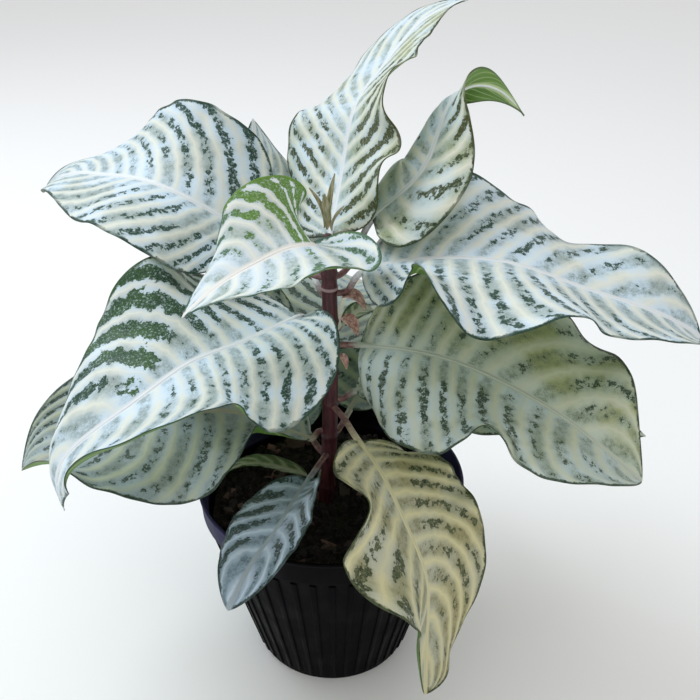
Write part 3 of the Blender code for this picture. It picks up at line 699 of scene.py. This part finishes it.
def makeStalk(name, leaf):
    # the stalk from inside the stem, then the midrib half sunk in the blade
    d = bladeDesign
    axes = leafAxes(leaf)
    path = fullPath(leaf)
    start = 1 / len(leaf["path"])
    base, beyond = smoothCurve(path, np.array((start, start + 1e-4)))
    third = np.linalg.norm(base - path[0]) / 3
    first = path[0] + (third, 0, 0)
    second = base - third * unit(beyond - base)
    s = np.linspace(0, 1, d["stalkRings"])[:, None]
    stalk = (1 - s)**3 * path[0] + 3 * (1 - s)**2 * s * first + 3 * (1 - s) * s**2 * second + s**3 * base
    stalk = np.vstack((path[0] - (0.003, 0, 0), stalk)) @ axes
    along = np.linspace(0, d["ribEnd"], d["ribRings"])[1:]
    points, side, up = leafFrames(leaf, start + (1 - start) * along)
    roll = np.radians(smoothCurve(leaf["roll"], along))[:, None]
    up = np.cos(roll) * up - np.sin(roll) * side
    small = min(1.0, leaf["width"][0] / d["smallWidth"])
    ribRadius = small * d["ribRadius"] * (1 - d["ribTaper"] * along)
    blend = smoothStep(along, 0.0, 0.10)
    ribRadius = (1 - blend) * small * d["stalkRadius"] + blend * ribRadius
    sink = blend * (ribRadius - d["thickness"] / 2 - d["ribRise"])
    rib = points - sink[:, None] * up
    radii = np.concatenate((np.full(len(stalk), small * d["stalkRadius"]), ribRadius))
    return tube(name + "_stalk", np.vstack((stalk, rib)), radii)


def topMaterial(name, look, seed):
    material, shader, wire = newMaterial(name)
    p = leafPattern
    vein = wire.attribute("vein")
    rib = wire.attribute("rib")
    edge = wire.attribute("edge")
    green = wire.attribute("green")
    # millimetres on the flat blade, so that every pattern has its real size
    run = wire.attribute("run")
    flat = wire.node("ShaderNodeCombineXYZ", None, {"X": run, "Y": rib, "Z": float(seed)})
    blots = wire.noise(flat, p["blots"], 3.0, 0.6)
    broad = wire.noise(flat, p["broad"], 2.0, 0.5)
    fine = wire.noise(flat, p["fine"], 2.0, 0.5)
    specks = wire.noise(flat, p["specks"], 3.0, 0.7)
    cells = {"Vector": flat, "Scale": p["cells"]}
    cellTints = wire.node("ShaderNodeTexVoronoi", None, cells, output="Color")
    cell = wire.node("ShaderNodeSeparateColor", None, {0: cellTints})
    cellEdges = wire.node("ShaderNodeTexVoronoi", {"feature": "DISTANCE_TO_EDGE"}, cells)
    # distance from the nearest vein, 0 on it and 1 half way to the next
    wander = (wire.noise(flat, p["wander"], 2.0, 0.5) - 0.5) * p["wanderShare"]
    fromVein = wire.node("ShaderNodeMath", {"operation": "PINGPONG"}, {0: vein + wander, 1: 0.5}) * 2.0
    # the green lies between the veins, and thins out towards the midrib
    lush = (green - p["lushFrom"]).most(0.0) * p["lushShare"]
    between = (fromVein + lush + (blots - 0.5) * 0.5).ramp(*p["gap"])
    reach = (rib + (broad - 0.5) * p["reachStir"] + (green - 2.0).most(0.0) * 40.0).ramp(*p["reach"])
    amount = green * reach * (broad.ramp(0.30, 0.62) * 0.50 + 0.50)
    # its patches are blots, roughened by cells and fine noise
    field = blots * 1.5 - 0.25 + (cell - 0.5) * 0.20 + (fine - 0.5) * 0.30 + (between - 1.0) * 0.70
    patch = (field - (p["level"] - amount * p["greenShare"])).ramp(*p["soft"])
    speckled = 1.0 - specks.ramp(*p["speckled"]) * p["speckShare"]
    patch = patch * speckled * (cellEdges.ramp(0.0, 0.09) * 0.12 + 0.88)
    margin = (edge + (blots - 0.5) * 4.0 + (fine - 0.5) * 1.6).ramp(*p["margin"])
    margin = margin * (broad.ramp(0.35, 0.50) * 0.5 + 0.5)
    dark = patch.most(margin)
    # a vein is a soft pale band with a brighter core
    stray = (blots - 0.5) * 0.30 + (fine - 0.5) * 0.25
    glow = (fromVein + lush + stray).ramp(*p["glow"]) * look["glow"]
    core = (fromVein + lush * 0.5 + stray * 0.5).ramp(*p["core"]) * p["coreShare"]
    band = glow.most(core)
    midrib = rib.ramp(*p["midrib"])
    # the ground between the veins is mottled, and paler beside the midrib, where it takes the painted
    # bluish sky sheen
    mottle = (blots.ramp(0.35, 0.65) * 0.5 + fine.ramp(0.3, 0.7) * 0.4) * between
    onRight = vein.ramp(rightVein - 20.0, rightVein - 19.0)
    # painted sky sheen: a pale bluish wash stands in for the sky's reflection, laid in broad patches
    # over the ground and veins, its share set for each half
    leftSheenShare, rightSheenShare = look["paintedSheenShare"]
    paintedSheenShare = onRight * (rightSheenShare - leftSheenShare) + leftSheenShare
    ground = onRight.mix(*look["ground"])
    ground = (broad.ramp(0.36, 0.58) * paintedSheenShare).mix(ground, look["paintedSkySheen"])
    ground = rib.ramp(14.0, 2.0, 0.0, 0.5).mix(ground, look["paintedSkySheen"])
    ground = mottle.mix(ground, look["shadow"])
    pale = band.mix(ground, look["vein"])
    pale = (broad.ramp(0.50, 0.66) * paintedSheenShare * 0.6).mix(pale, look["paintedSkySheen"])
    pale = midrib.mix(pale, look["rib"])
    # the patches' own greens
    deep = (specks + (cell - 0.5) * 0.3).ramp(0.32, 0.62).mix(look["green"], look["leaf"])
    freshness = (green + (broad - 0.5) * 2.4 - look["freshFrom"]).ramp(0.0, 1.0)
    freshness = freshness * (specks.ramp(0.30, 0.60) * 0.5 + 0.5)
    deep = freshness.mix(deep, look["fresh"])
    colour = (dark * (1.0 - midrib)).mix(pale, deep)
    height = band * 0.5 + fine * 0.10 + blots * 0.25
    plug(shader, {"Base Color": colour, "Roughness": p["roughness"] + p["roughStir"] * fine,
                  "Normal": height.bump(*p["bump"]), "Specular IOR Level": p["specular"]})
    return material


underLook = {
    "dark": (0.075, 0.175, 0.020), "light": (0.160, 0.300, 0.050), "vein": (0.38, 0.52, 0.22),
    "rib": (0.46, 0.58, 0.30), "margin": (0.07, 0.13, 0.04), "roughness": 0.55,
}


def underMaterial():
    material, shader, wire = newMaterial("leafUnderside")
    vein = wire.attribute("vein")
    rib = wire.attribute("rib")
    grain = wire.node("ShaderNodeCombineXYZ", None, {"X": vein * 12.0, "Y": rib * 0.62})
    speckle = wire.noise(grain, 0.85, 3.0, 0.6)
    fromVein = wire.node("ShaderNodeMath", {"operation": "PINGPONG"}, {0: vein, 1: 0.5}) * 2.0
    band = fromVein.ramp(0.30, 0.05)
    skin = speckle.ramp(0.35, 0.70).mix(underLook["dark"], underLook["light"])
    skin = (band * 0.65).mix(skin, underLook["vein"])
    skin = rib.ramp(2.2, 0.8).mix(skin, underLook["rib"])
    skin = wire.attribute("edge").ramp(1.2, 0.5).mix(skin, underLook["margin"])
    plug(shader, {"Base Color": skin, "Roughness": underLook["roughness"],
                  "Normal": band.bump(0.4, 0.0008)})
    return material


stalkLook = {"dark": (0.15, 0.065, 0.070), "light": (0.27, 0.15, 0.135), "roughness": 0.45}


def stalkMaterial(name, look):
    # mauve brown at the stem, turning to the midrib's pale colour along the blade
    material, shader, wire = newMaterial(name)
    streaks = wire.noise(wire.here(), 400.0, 3.0)
    paling = (wire.attribute("along") + (streaks - 0.5) * 0.10).ramp(0.06, 0.20)
    skin = streaks.ramp(0.35, 0.65).mix(stalkLook["dark"], stalkLook["light"])
    skin = paling.mix(skin, look["rib"])
    plug(shader, {"Base Color": skin, "Roughness": stalkLook["roughness"]})
    return material


def buildLeaves():
    under = underMaterial()
    for i, (name, leaf) in enumerate(leafShapes.items()):
        look = leafLooks[leaf["look"]]
        # small leaves take fewer rows and columns
        share = min(1.0, 0.35 + leaf["width"][0] / 0.06)
        top = topMaterial(name + "_top", look, 7.3 * i)
        rows, columns = int(bladeDesign["rows"] * share), int(bladeDesign["columns"] * share)
        blade = makeBlade(name, leaf, rows, columns, (top, under))
        finishPiece(blade, name)
        stalk = makeStalk(name, leaf)
        stalk.data.materials.append(stalkMaterial(name + "_stalk", look))
        finishPiece(stalk, name)
    print("leaves:", len(leafShapes), "blades with their stalks")


buildLeaves()


# The stem: a tapering tube with a ring at each pair of leaves, and its narrow scales
stemLook = {
    "dark": (0.035, 0.006, 0.008), "light": (0.100, 0.018, 0.028), "roughness": (0.40, 0.20),
    "scar": (0.42, 0.30, 0.30), "scarWidth": (0.0011, 0.0005),
    "tipScale": ((0.16, 0.17, 0.07), (0.45, 0.40, 0.26)),
    "dryScale": ((0.27, 0.12, 0.10), (0.72, 0.47, 0.41)),
}

# Green scales round the growing tip, and dried ones lower down
scaleDesign = {"shape": (0.7, 0.9), "fold": 45, "rows": 30, "columns": 6}
scaleShapes = {
    "tip_tall": {"heading": 30, "width": 0.0026, "path": (
        (0.0, 0.0, 0.255), (0.001, 0.0, 0.267), (0.002, 0.0, 0.280), (0.004, 0.0, 0.292))},
    "tip_left": {"heading": 170, "width": 0.0026, "path": (
        (0.0, 0.0, 0.255), (0.002, 0.0, 0.265), (0.004, 0.0, 0.276), (0.009, 0.0, 0.285))},
    "tip_front": {"heading": 250, "width": 0.0026, "path": (
        (0.0, 0.0, 0.255), (0.0015, 0.0, 0.265), (0.003, 0.0, 0.275), (0.004, 0.0, 0.284))},
    "tip_right": {"heading": 350, "width": 0.0026, "path": (
        (0.0, 0.0, 0.255), (0.002, 0.0, 0.264), (0.004, 0.0, 0.271), (0.008, 0.0, 0.277))},
    "old_right": {"heading": 330, "width": 0.0052, "path": (
        (0.002, 0.0, 0.214), (0.007, 0.0, 0.217), (0.012, 0.0, 0.216), (0.017, 0.0, 0.210))},
    "old_high": {"heading": 350, "width": 0.0060, "path": (
        (0.002, 0.0, 0.223), (0.007, 0.0, 0.228), (0.013, 0.0, 0.228), (0.019, 0.0, 0.222))},
    "old_front": {"heading": 318, "width": 0.0026, "path": (
        (0.002, 0.0, 0.191), (0.007, 0.0, 0.196), (0.010, 0.0, 0.195), (0.012, 0.0, 0.190))},
}


def stretched(wire, spot, across, along):
    # noise drawn out along the stem
    scale = (across, across, along)
    return wire.noise(wire.node("ShaderNodeMapping", None, {"Vector": spot, "Scale": scale}), 1.0)


def stemMaterial():
    material, shader, wire = newMaterial("stemSkin")
    spot = wire.here()
    streaks = stretched(wire, spot, 900.0, 90.0)
    skin = streaks.ramp(0.35, 0.65).mix(stemLook["dark"], stemLook["light"])
    scar = (spot.part("Z") - stemDesign["scar"]).size().ramp(*stemLook["scarWidth"])
    skin = (scar * 0.8).mix(skin, stemLook["scar"])
    smooth, stir = stemLook["roughness"]
    plug(shader, {"Base Color": skin, "Roughness": smooth + stir * streaks,
                  "Normal": streaks.bump(0.4, 0.0004)})
    return material


def scaleMaterial(name):
    material, shader, wire = newMaterial(name)
    streaks = stretched(wire, wire.here(), 700.0, 120.0)
    plug(shader, {"Base Color": streaks.ramp(0.3, 0.7).mix(*stemLook[name]), "Roughness": 0.5})
    return material


def buildStem():
    d = stemDesign
    low, high = d["axis"][0][0], d["axis"][-1][0]
    heights = np.linspace(low, high, d["steps"])
    centres = np.array([(*stemCentre(h), h) for h in heights])
    radii = np.array([stemRadius(h) for h in heights])
    for ring in d["rings"]:
        radii += d["ringSwell"] * np.exp(-((heights - ring) / d["ringWidth"])**2)
    radii[-len(d["top"]):] *= np.array(d["top"])
    stem = tube("stem_stalk", centres, radii, 6)
    stem.data.materials.append(stemMaterial())
    finishPiece(stem, "stem")
    green, dry = scaleMaterial("tipScale"), scaleMaterial("dryScale")
    plain = {"roll": (0, 0), "leftVeins": (3, 0, 0, 0, 0, 1), "rightVeins": (3, 0, 0, 0, 0, 1),
             "leftGreen": (0, 0), "rightGreen": (0, 0), "shape": scaleDesign["shape"],
             "right": (scaleDesign["fold"],) * 2, "left": (scaleDesign["fold"],) * 2}
    for name, scale in scaleShapes.items():
        # a scale is a small leaf whose path starts in the stem
        root, path = scale["path"][0][2], scale["path"][1:]
        leaf = {**plain, "heading": scale["heading"], "root": root, "path": path,
                "width": (scale["width"],) * 2}
        material = dry if name.startswith("old") else green
        blade = makeBlade(name, leaf, scaleDesign["rows"], scaleDesign["columns"], (material,))
        finishPiece(blade, "stem")
    print("stem: one tube with", len(scaleShapes), "scales")


buildStem()


# The pot: one thin moulding with upright ribs, a plain band and a lip
potDesign = {
    "base": 0.045, "neck": 0.0715, "neckHeight": 0.101, "baseChamfer": 0.0015,
    "wall": 0.0014, "floor": 0.0018, "ribs": 44, "ribDepth": 0.0009, "stepsPerRib": 6, "stepsRaised": 2,
    "ribBottom": 0.004, "ribTop": 0.098, "drains": 6, "drainRadius": 0.0045, "drainCircle": 0.030,
    "drainDepth": 0.01, "softEdge": 0.00035,
    # heights of the rings of the wall, outside going up and inside coming down
    "outer": (0.0006, 0.0015, 0.004, 0.035, 0.066, 0.098, 0.100),
    "inner": (0.098, 0.060, 0.030, 0.004),
    # the rim band and its lip, as (radius, height)
    "band": ((0.0722, 0.1006), (0.0733, 0.1012), (0.0736, 0.1020), (0.0742, 0.1130), (0.0744, 0.1139)),
    "lip": ((0.0748, 0.1143), (0.0750, 0.1148), (0.0750, 0.1153), (0.0748, 0.1158), (0.0745, 0.1160),
            (0.0737, 0.1160), (0.0733, 0.1156), (0.0731, 0.1148)),
    "bandInside": ((0.0722, 0.1045), (0.0720, 0.1036), (0.0715, 0.1030), (0.0706, 0.1028),
                   (0.0701, 0.1020)),
}

potLook = {
    "clean": (0.0016, 0.0012, 0.0018), "dusty": (0.0050, 0.0040, 0.0062), "roughness": (0.42, 0.60),
    "paintedRimReflection": (0.070, 0.068, 0.180),  # a painted violet reflection of the sky on the rim's sides
    "paintedReflectionHeights": (0.1004, 0.1024), "paintedReflectionSides": (0.020, 0.060), "specular": 0.04,
}


def wallRadius(height):
    return potDesign["base"] + (potDesign["neck"] - potDesign["base"]) * height / potDesign["neckHeight"]


def pullUp(radius, height, lastRadius, lastHeight):
    # the next ring of the wall: extrude the open edge and set its size
    bpy.ops.mesh.extrude_region_move(TRANSFORM_OT_translate={"value": (0, 0, height - lastHeight)})
    scale = radius / lastRadius
    bpy.ops.transform.resize(value=(scale, scale, 1))


def potMaterial():
    material, shader, wire = newMaterial("potPlastic")
    spot = wire.here()
    dust = wire.noise(spot, 60.0, 4.0)
    scuffs = wire.noise(spot, 900.0, 2.0)
    skin = (dust.ramp(0.45, 0.75) * 0.5).mix(potLook["clean"], potLook["dusty"])
    # painted reflection: a violet sky sheen painted on the rim band's left and right sides, broken up by
    # the dust
    onRim = spot.part("Z").ramp(*potLook["paintedReflectionHeights"])
    onSides = spot.part("X").size().ramp(*potLook["paintedReflectionSides"])
    paintedRimReflection = onRim * onSides * (dust.ramp(0.30, 0.70) * 0.5 + 0.5)
    skin = (paintedRimReflection * 0.6).mix(skin, potLook["paintedRimReflection"])
    plug(shader, {"Base Color": skin, "Roughness": dust.ramp(0.3, 0.7, *potLook["roughness"]),
                  "Normal": scuffs.bump(0.15, 0.0002), "Specular IOR Level": potLook["specular"]})
    return material


def potRings():
    # the wall's profile as (radius, height), from the foot up, over the lip and down inside
    d = potDesign
    outer = [(wallRadius(height), height) for height in d["outer"]]
    inner = [(wallRadius(height) - d["wall"], height) for height in d["inner"]]
    corner = (wallRadius(d["floor"]) - d["wall"] - 0.001, d["floor"])
    return [*outer, *d["band"], *d["lip"], *d["bandInside"], *inner, corner]


def buildPot():
    d = potDesign
    steps = d["ribs"] * d["stepsPerRib"]
    foot = d["base"] - d["baseChamfer"]
    deselect()
    bpy.ops.mesh.primitive_circle_add(vertices=steps, radius=foot, fill_type="NOTHING")
    pot = bpy.context.object
    pot.name = "pot_shell"
    bpy.ops.object.mode_set(mode="EDIT")
    bpy.ops.mesh.select_mode(type="EDGE")
    bpy.ops.mesh.select_all(action="SELECT")
    last = (foot, 0.0)
    for radius, height in potRings():
        pullUp(radius, height, *last)
        last = (radius, height)
    bpy.ops.mesh.edge_face_add()
    bpy.ops.mesh.select_all(action="DESELECT")
    bpy.ops.object.mode_set(mode="OBJECT")
    for edge in pot.data.edges:
        edge.select = all(pot.data.vertices[i].co.z < 1e-6 for i in edge.vertices)
    bpy.ops.object.mode_set(mode="EDIT")
    bpy.ops.mesh.edge_face_add()
    bpy.ops.mesh.select_all(action="SELECT")
    bpy.ops.mesh.normals_make_consistent(inside=False)
    bpy.ops.mesh.select_all(action="DESELECT")
    bpy.ops.object.mode_set(mode="OBJECT")
    # some columns of each rib's share of the outer wall are raised
    for face in pot.data.polygons:
        x, y, z = face.center
        column = int(math.atan2(y, x) / math.tau * steps + steps) % d["stepsPerRib"]
        onWall = d["ribBottom"] < z < d["ribTop"] and math.hypot(x, y) > wallRadius(z) - d["wall"] / 2
        face.select = onWall and column < d["stepsRaised"]
    bpy.ops.object.mode_set(mode="EDIT")
    bpy.ops.mesh.select_mode(type="FACE")
    bpy.ops.mesh.extrude_region_shrink_fatten(TRANSFORM_OT_shrink_fatten={"value": d["ribDepth"]})
    bpy.ops.mesh.select_all(action="DESELECT")
    bpy.ops.object.mode_set(mode="OBJECT")
    for i in range(d["drains"]):
        angle = math.tau * (i + 0.5) / d["drains"]
        place = (d["drainCircle"] * math.cos(angle), d["drainCircle"] * math.sin(angle), 0)
        deselect()
        bpy.ops.mesh.primitive_cylinder_add(
            vertices=32, radius=d["drainRadius"], depth=d["drainDepth"], location=place)
        cutter = bpy.context.object
        pick(pot)
        cut = pot.modifiers.new("drain", "BOOLEAN")
        cut.object = cutter
        cut.solver = "EXACT"
        bpy.ops.object.modifier_apply(modifier=cut.name)
        bpy.data.objects.remove(cutter)
    pick(pot)
    soft = pot.modifiers.new("soft edges", "BEVEL")
    soft.width = d["softEdge"]
    soft.segments = 2
    soft.limit_method = "ANGLE"
    soft.angle_limit = math.radians(50)
    bpy.ops.object.modifier_apply(modifier=soft.name)
    bpy.ops.object.shade_smooth_by_angle(angle=math.radians(40))
    pot.data.materials.append(potMaterial())
    finishPiece(pot, "pot")
    print("pot:", d["ribs"], "ribs and", d["drains"], "drain holes")


buildPot()


# The soil: a crumbly bed with loose crumbs and bark chips on it
soilDesign = {
    "height": 0.0985, "radius": 0.0684, "cells": 170, "seed": 11,
    "swell": 0.0021, "grit": 0.0008,  # heights of the lumps and of the grain
    "lumps": ((0.022, 0.8), (0.008, 0.6), (0.0035, 0.5)),  # sizes and shares
    "wavesPerSize": 7,
    "bank": (0.050, 0.068, -0.0015),  # the bed sinks towards the wall
    "depth": 0.090, "waist": 0.62,
    "crumbs": 620, "crumbSizes": (0.0011, 0.0016, 0.0021, 0.0026), "crumbSpread": 0.066,
    "chips": 70, "chipSpread": 0.062, "chipTilt": 0.5,
    "chipSizes": ((0.011, 0.0055, 0.0022), (0.008, 0.0035, 0.0018), (0.006, 0.005, 0.002),
                  (0.013, 0.002, 0.0015)),
}

soilLook = {
    "dark": (0.006, 0.004, 0.005), "light": (0.032, 0.020, 0.022), "fleck": (0.10, 0.05, 0.045),
    "chipDark": (0.040, 0.020, 0.019), "chipLight": (0.21, 0.105, 0.095),
    "chipGrain": (0.02, 0.012, 0.012), "roughness": 0.92, "chipRoughness": 0.75,
}


def soilMaterial():
    material, shader, wire = newMaterial("soilCrumbs")
    spot = wire.here()
    coarse = wire.noise(spot, 260.0, 4.0)
    fine = wire.noise(spot, 1400.0, 3.0)
    skin = coarse.ramp(0.35, 0.70).mix(soilLook["dark"], soilLook["light"])
    skin = (fine.ramp(0.62, 0.72) * 0.5).mix(skin, soilLook["fleck"])
    plug(shader, {"Base Color": skin, "Roughness": soilLook["roughness"],
                  "Normal": (coarse + fine * 0.5).bump(0.8, 0.0010)})
    return material


def chipMaterial():
    material, shader, wire = newMaterial("barkChips")
    grain = wire.noise(wire.here(), 900.0, 3.0)
    skin = wire.attribute("tone").mix(soilLook["chipDark"], soilLook["chipLight"])
    skin = (grain.ramp(0.4, 0.7) * 0.5).mix(skin, soilLook["chipGrain"])
    plug(shader, {"Base Color": skin, "Roughness": soilLook["chipRoughness"],
                  "Normal": grain.bump(0.6, 0.0004)})
    return material


def soilTop(x, y, numbers):
    # lumps of several sizes, from waves with seeded directions
    height = np.zeros_like(x)
    for size, share in soilDesign["lumps"]:
        layer = np.zeros_like(x)
        for k in range(soilDesign["wavesPerSize"]):
            turn = numbers.uniform(0, math.tau)
            phase = numbers.uniform(0, math.tau)
            wave = math.tau / size * numbers.uniform(0.7, 1.4)
            layer += np.sin(wave * (x * math.cos(turn) + y * math.sin(turn)) + phase)
        height += share * layer / soilDesign["wavesPerSize"]
    return height


def scatterShapes(name, shapes, count, numbers, spread, tilt):
    # copies of a few modelled shapes, turned and strewn over the soil, then joined
    made = []
    for i in range(count):
        copy = shapes[i % len(shapes)].copy()
        copy.data = copy.data.copy()
        bpy.context.scene.collection.objects.link(copy)
        reach = spread * math.sqrt(numbers.uniform(0.012, 1))
        angle = numbers.uniform(0, math.tau)
        x, y = reach * math.cos(angle), reach * math.sin(angle)
        copy.location = (x, y, soilDesign["height"] + numbers.uniform(-0.0004, 0.0022))
        copy.rotation_euler = [numbers.uniform(*tilt) for k in range(2)] + [numbers.uniform(0, math.tau)]
        size = numbers.uniform(0.5, 1.3)
        copy.scale = (size, size, size)
        writeAttribute(copy.data, "tone", np.full(len(copy.data.vertices), numbers.uniform(0, 1)**2))
        made.append(copy)
    deselect()
    for copy in made:
        copy.select_set(True)
    bpy.context.view_layer.objects.active = made[0]
    bpy.ops.object.join()
    piece = bpy.context.object
    piece.name = name
    bpy.ops.object.transform_apply(location=True, rotation=True, scale=True)
    for shape in shapes:
        bpy.data.objects.remove(shape)
    return piece


def roughLump(size, numbers):
    deselect()
    bpy.ops.mesh.primitive_ico_sphere_add(subdivisions=1, radius=1)
    lump = bpy.context.object
    points = readPoints(lump.data)
    for i in range(len(points)):
        points[i] *= numbers.uniform(0.7, 1.25)
    writePoints(lump.data, points * size)
    return lump


def roughChip(size, numbers):
    deselect()
    bpy.ops.mesh.primitive_cube_add(size=1)
    chip = bpy.context.object
    bpy.ops.object.mode_set(mode="EDIT")
    bpy.ops.mesh.subdivide(number_cuts=2)
    bpy.ops.object.mode_set(mode="OBJECT")
    points = readPoints(chip.data)
    for i in range(len(points)):
        points[i] += [numbers.uniform(-0.10, 0.10) for k in range(3)]
        points[i][:2] *= 1 - 0.35 * abs(points[i][0])
    writePoints(chip.data, points * size)
    bpy.ops.object.shade_flat()
    return chip


def buildSoil():
    d = soilDesign
    numbers = random.Random(d["seed"])
    deselect()
    cells = d["cells"]
    bpy.ops.mesh.primitive_grid_add(x_subdivisions=cells, y_subdivisions=cells, size=2 * d["radius"])
    soil = bpy.context.object
    soil.name = "soil_bed"
    mesh = soil.data
    for face in mesh.polygons:
        face.select = math.hypot(*face.center[:2]) > d["radius"] - 0.0005
    bpy.ops.object.mode_set(mode="EDIT")
    bpy.ops.mesh.select_mode(type="FACE")
    bpy.ops.mesh.delete(type="FACE")
    bpy.ops.object.mode_set(mode="OBJECT")
    points = readPoints(mesh)
    x, y = points[:, 0], points[:, 1]
    lumps = soilTop(x, y, numbers)
    grit = np.array([numbers.uniform(-1, 1) for k in range(len(points))])
    bankStart, bankEnd, drop = d["bank"]
    bank = smoothStep(np.hypot(x, y), bankStart, bankEnd) * drop
    points[:, 2] = d["height"] + d["swell"] * lumps + d["grit"] * grit + bank
    writePoints(mesh, points)
    # the bed's open edge is drawn down to the pot's floor and closed
    bpy.ops.object.mode_set(mode="EDIT")
    bpy.ops.mesh.select_mode(type="EDGE")
    bpy.ops.mesh.select_all(action="DESELECT")
    bpy.ops.mesh.select_non_manifold()
    bpy.ops.mesh.extrude_region_move(TRANSFORM_OT_translate={"value": (0, 0, -d["depth"])})
    bpy.ops.transform.resize(value=(d["waist"], d["waist"], 0.0001))
    bpy.ops.mesh.edge_face_add()
    bpy.ops.object.mode_set(mode="OBJECT")
    turnOutwards()
    bpy.ops.object.shade_smooth()
    soil.data.materials.append(soilMaterial())
    finishPiece(soil, "soil")
    lumpShapes = [roughLump(size, numbers) for size in d["crumbSizes"]]
    tumbled = (0, math.tau)
    crumbs = scatterShapes("soil_crumbs", lumpShapes, d["crumbs"], numbers, d["crumbSpread"], tumbled)
    crumbs.data.materials.append(soil.data.materials[0])
    finishPiece(crumbs, "soil")
    chipShapes = [roughChip(np.array(size), numbers) for size in d["chipSizes"]]
    lying = (-d["chipTilt"], d["chipTilt"])
    chips = scatterShapes("soil_chips", chipShapes, d["chips"], numbers, d["chipSpread"], lying)
    chips.data.materials.append(chipMaterial())
    finishPiece(chips, "soil")
    print("soil: a bed,", d["crumbs"], "crumbs and", d["chips"], "bark chips")


buildSoil()


# Studio: a pale floor, soft light from above, and the photograph's camera
studio = {
    "lens": 47.0, "sensor": 36, "camera": (0.0107, -0.4176, 0.433),
    "pitch": 29.5,  # degrees below level
    "floor": 9.0, "paper": (0.92, 0.92, 0.92, 1), "world": 0.72,
    "aim": (0, 0, 0.2),
    # name, place, size, power and colour
    "lights": (("skyLight", (-0.9, 0.3, 1.5), 1.1, 15, (0.84, 0.93, 1.0)),
               ("frontFill", (0.7, -1.1, 1.1), 1.2, 2.5, (1.0, 0.94, 0.82))),
}


def buildStudio():
    deselect()
    bpy.ops.mesh.primitive_plane_add(size=studio["floor"] * 2)
    floor = bpy.context.object
    floor.name = "studio_floor"
    material, shader = newMaterial("floorPaper")[:2]
    plug(shader, {"Base Color": studio["paper"], "Roughness": 0.9})
    floor.data.materials.append(material)
    for name, place, size, power, colour in studio["lights"]:
        deselect()
        bpy.ops.object.light_add(type="AREA", location=place)
        light = bpy.context.object
        light.name = name
        light.data.shape = "DISK"
        light.data.size = size
        light.data.energy = power
        light.data.color = colour
        aim = np.array(studio["aim"]) - np.array(place)
        flat = math.hypot(aim[0], aim[1])
        light.rotation_euler = (math.atan2(flat, -aim[2]), 0, math.atan2(aim[1], aim[0]) - math.pi / 2)
    world = bpy.data.worlds.new("studioAir")
    world.use_nodes = True
    plug(world.node_tree.nodes["Background"], {"Color": (1, 1, 1, 1), "Strength": studio["world"]})
    bpy.context.scene.world = world
    deselect()
    tilt = math.radians(90 - studio["pitch"])
    bpy.ops.object.camera_add(location=studio["camera"], rotation=(tilt, 0, 0))
    camera = bpy.context.object
    camera.data.lens = studio["lens"]
    camera.data.sensor_width = studio["sensor"]
    camera.data.clip_start = 0.01
    bpy.context.scene.camera = camera
    bpy.context.scene.view_settings.view_transform = "Standard"
    print("studio: floor, lights and camera")


buildStudio()
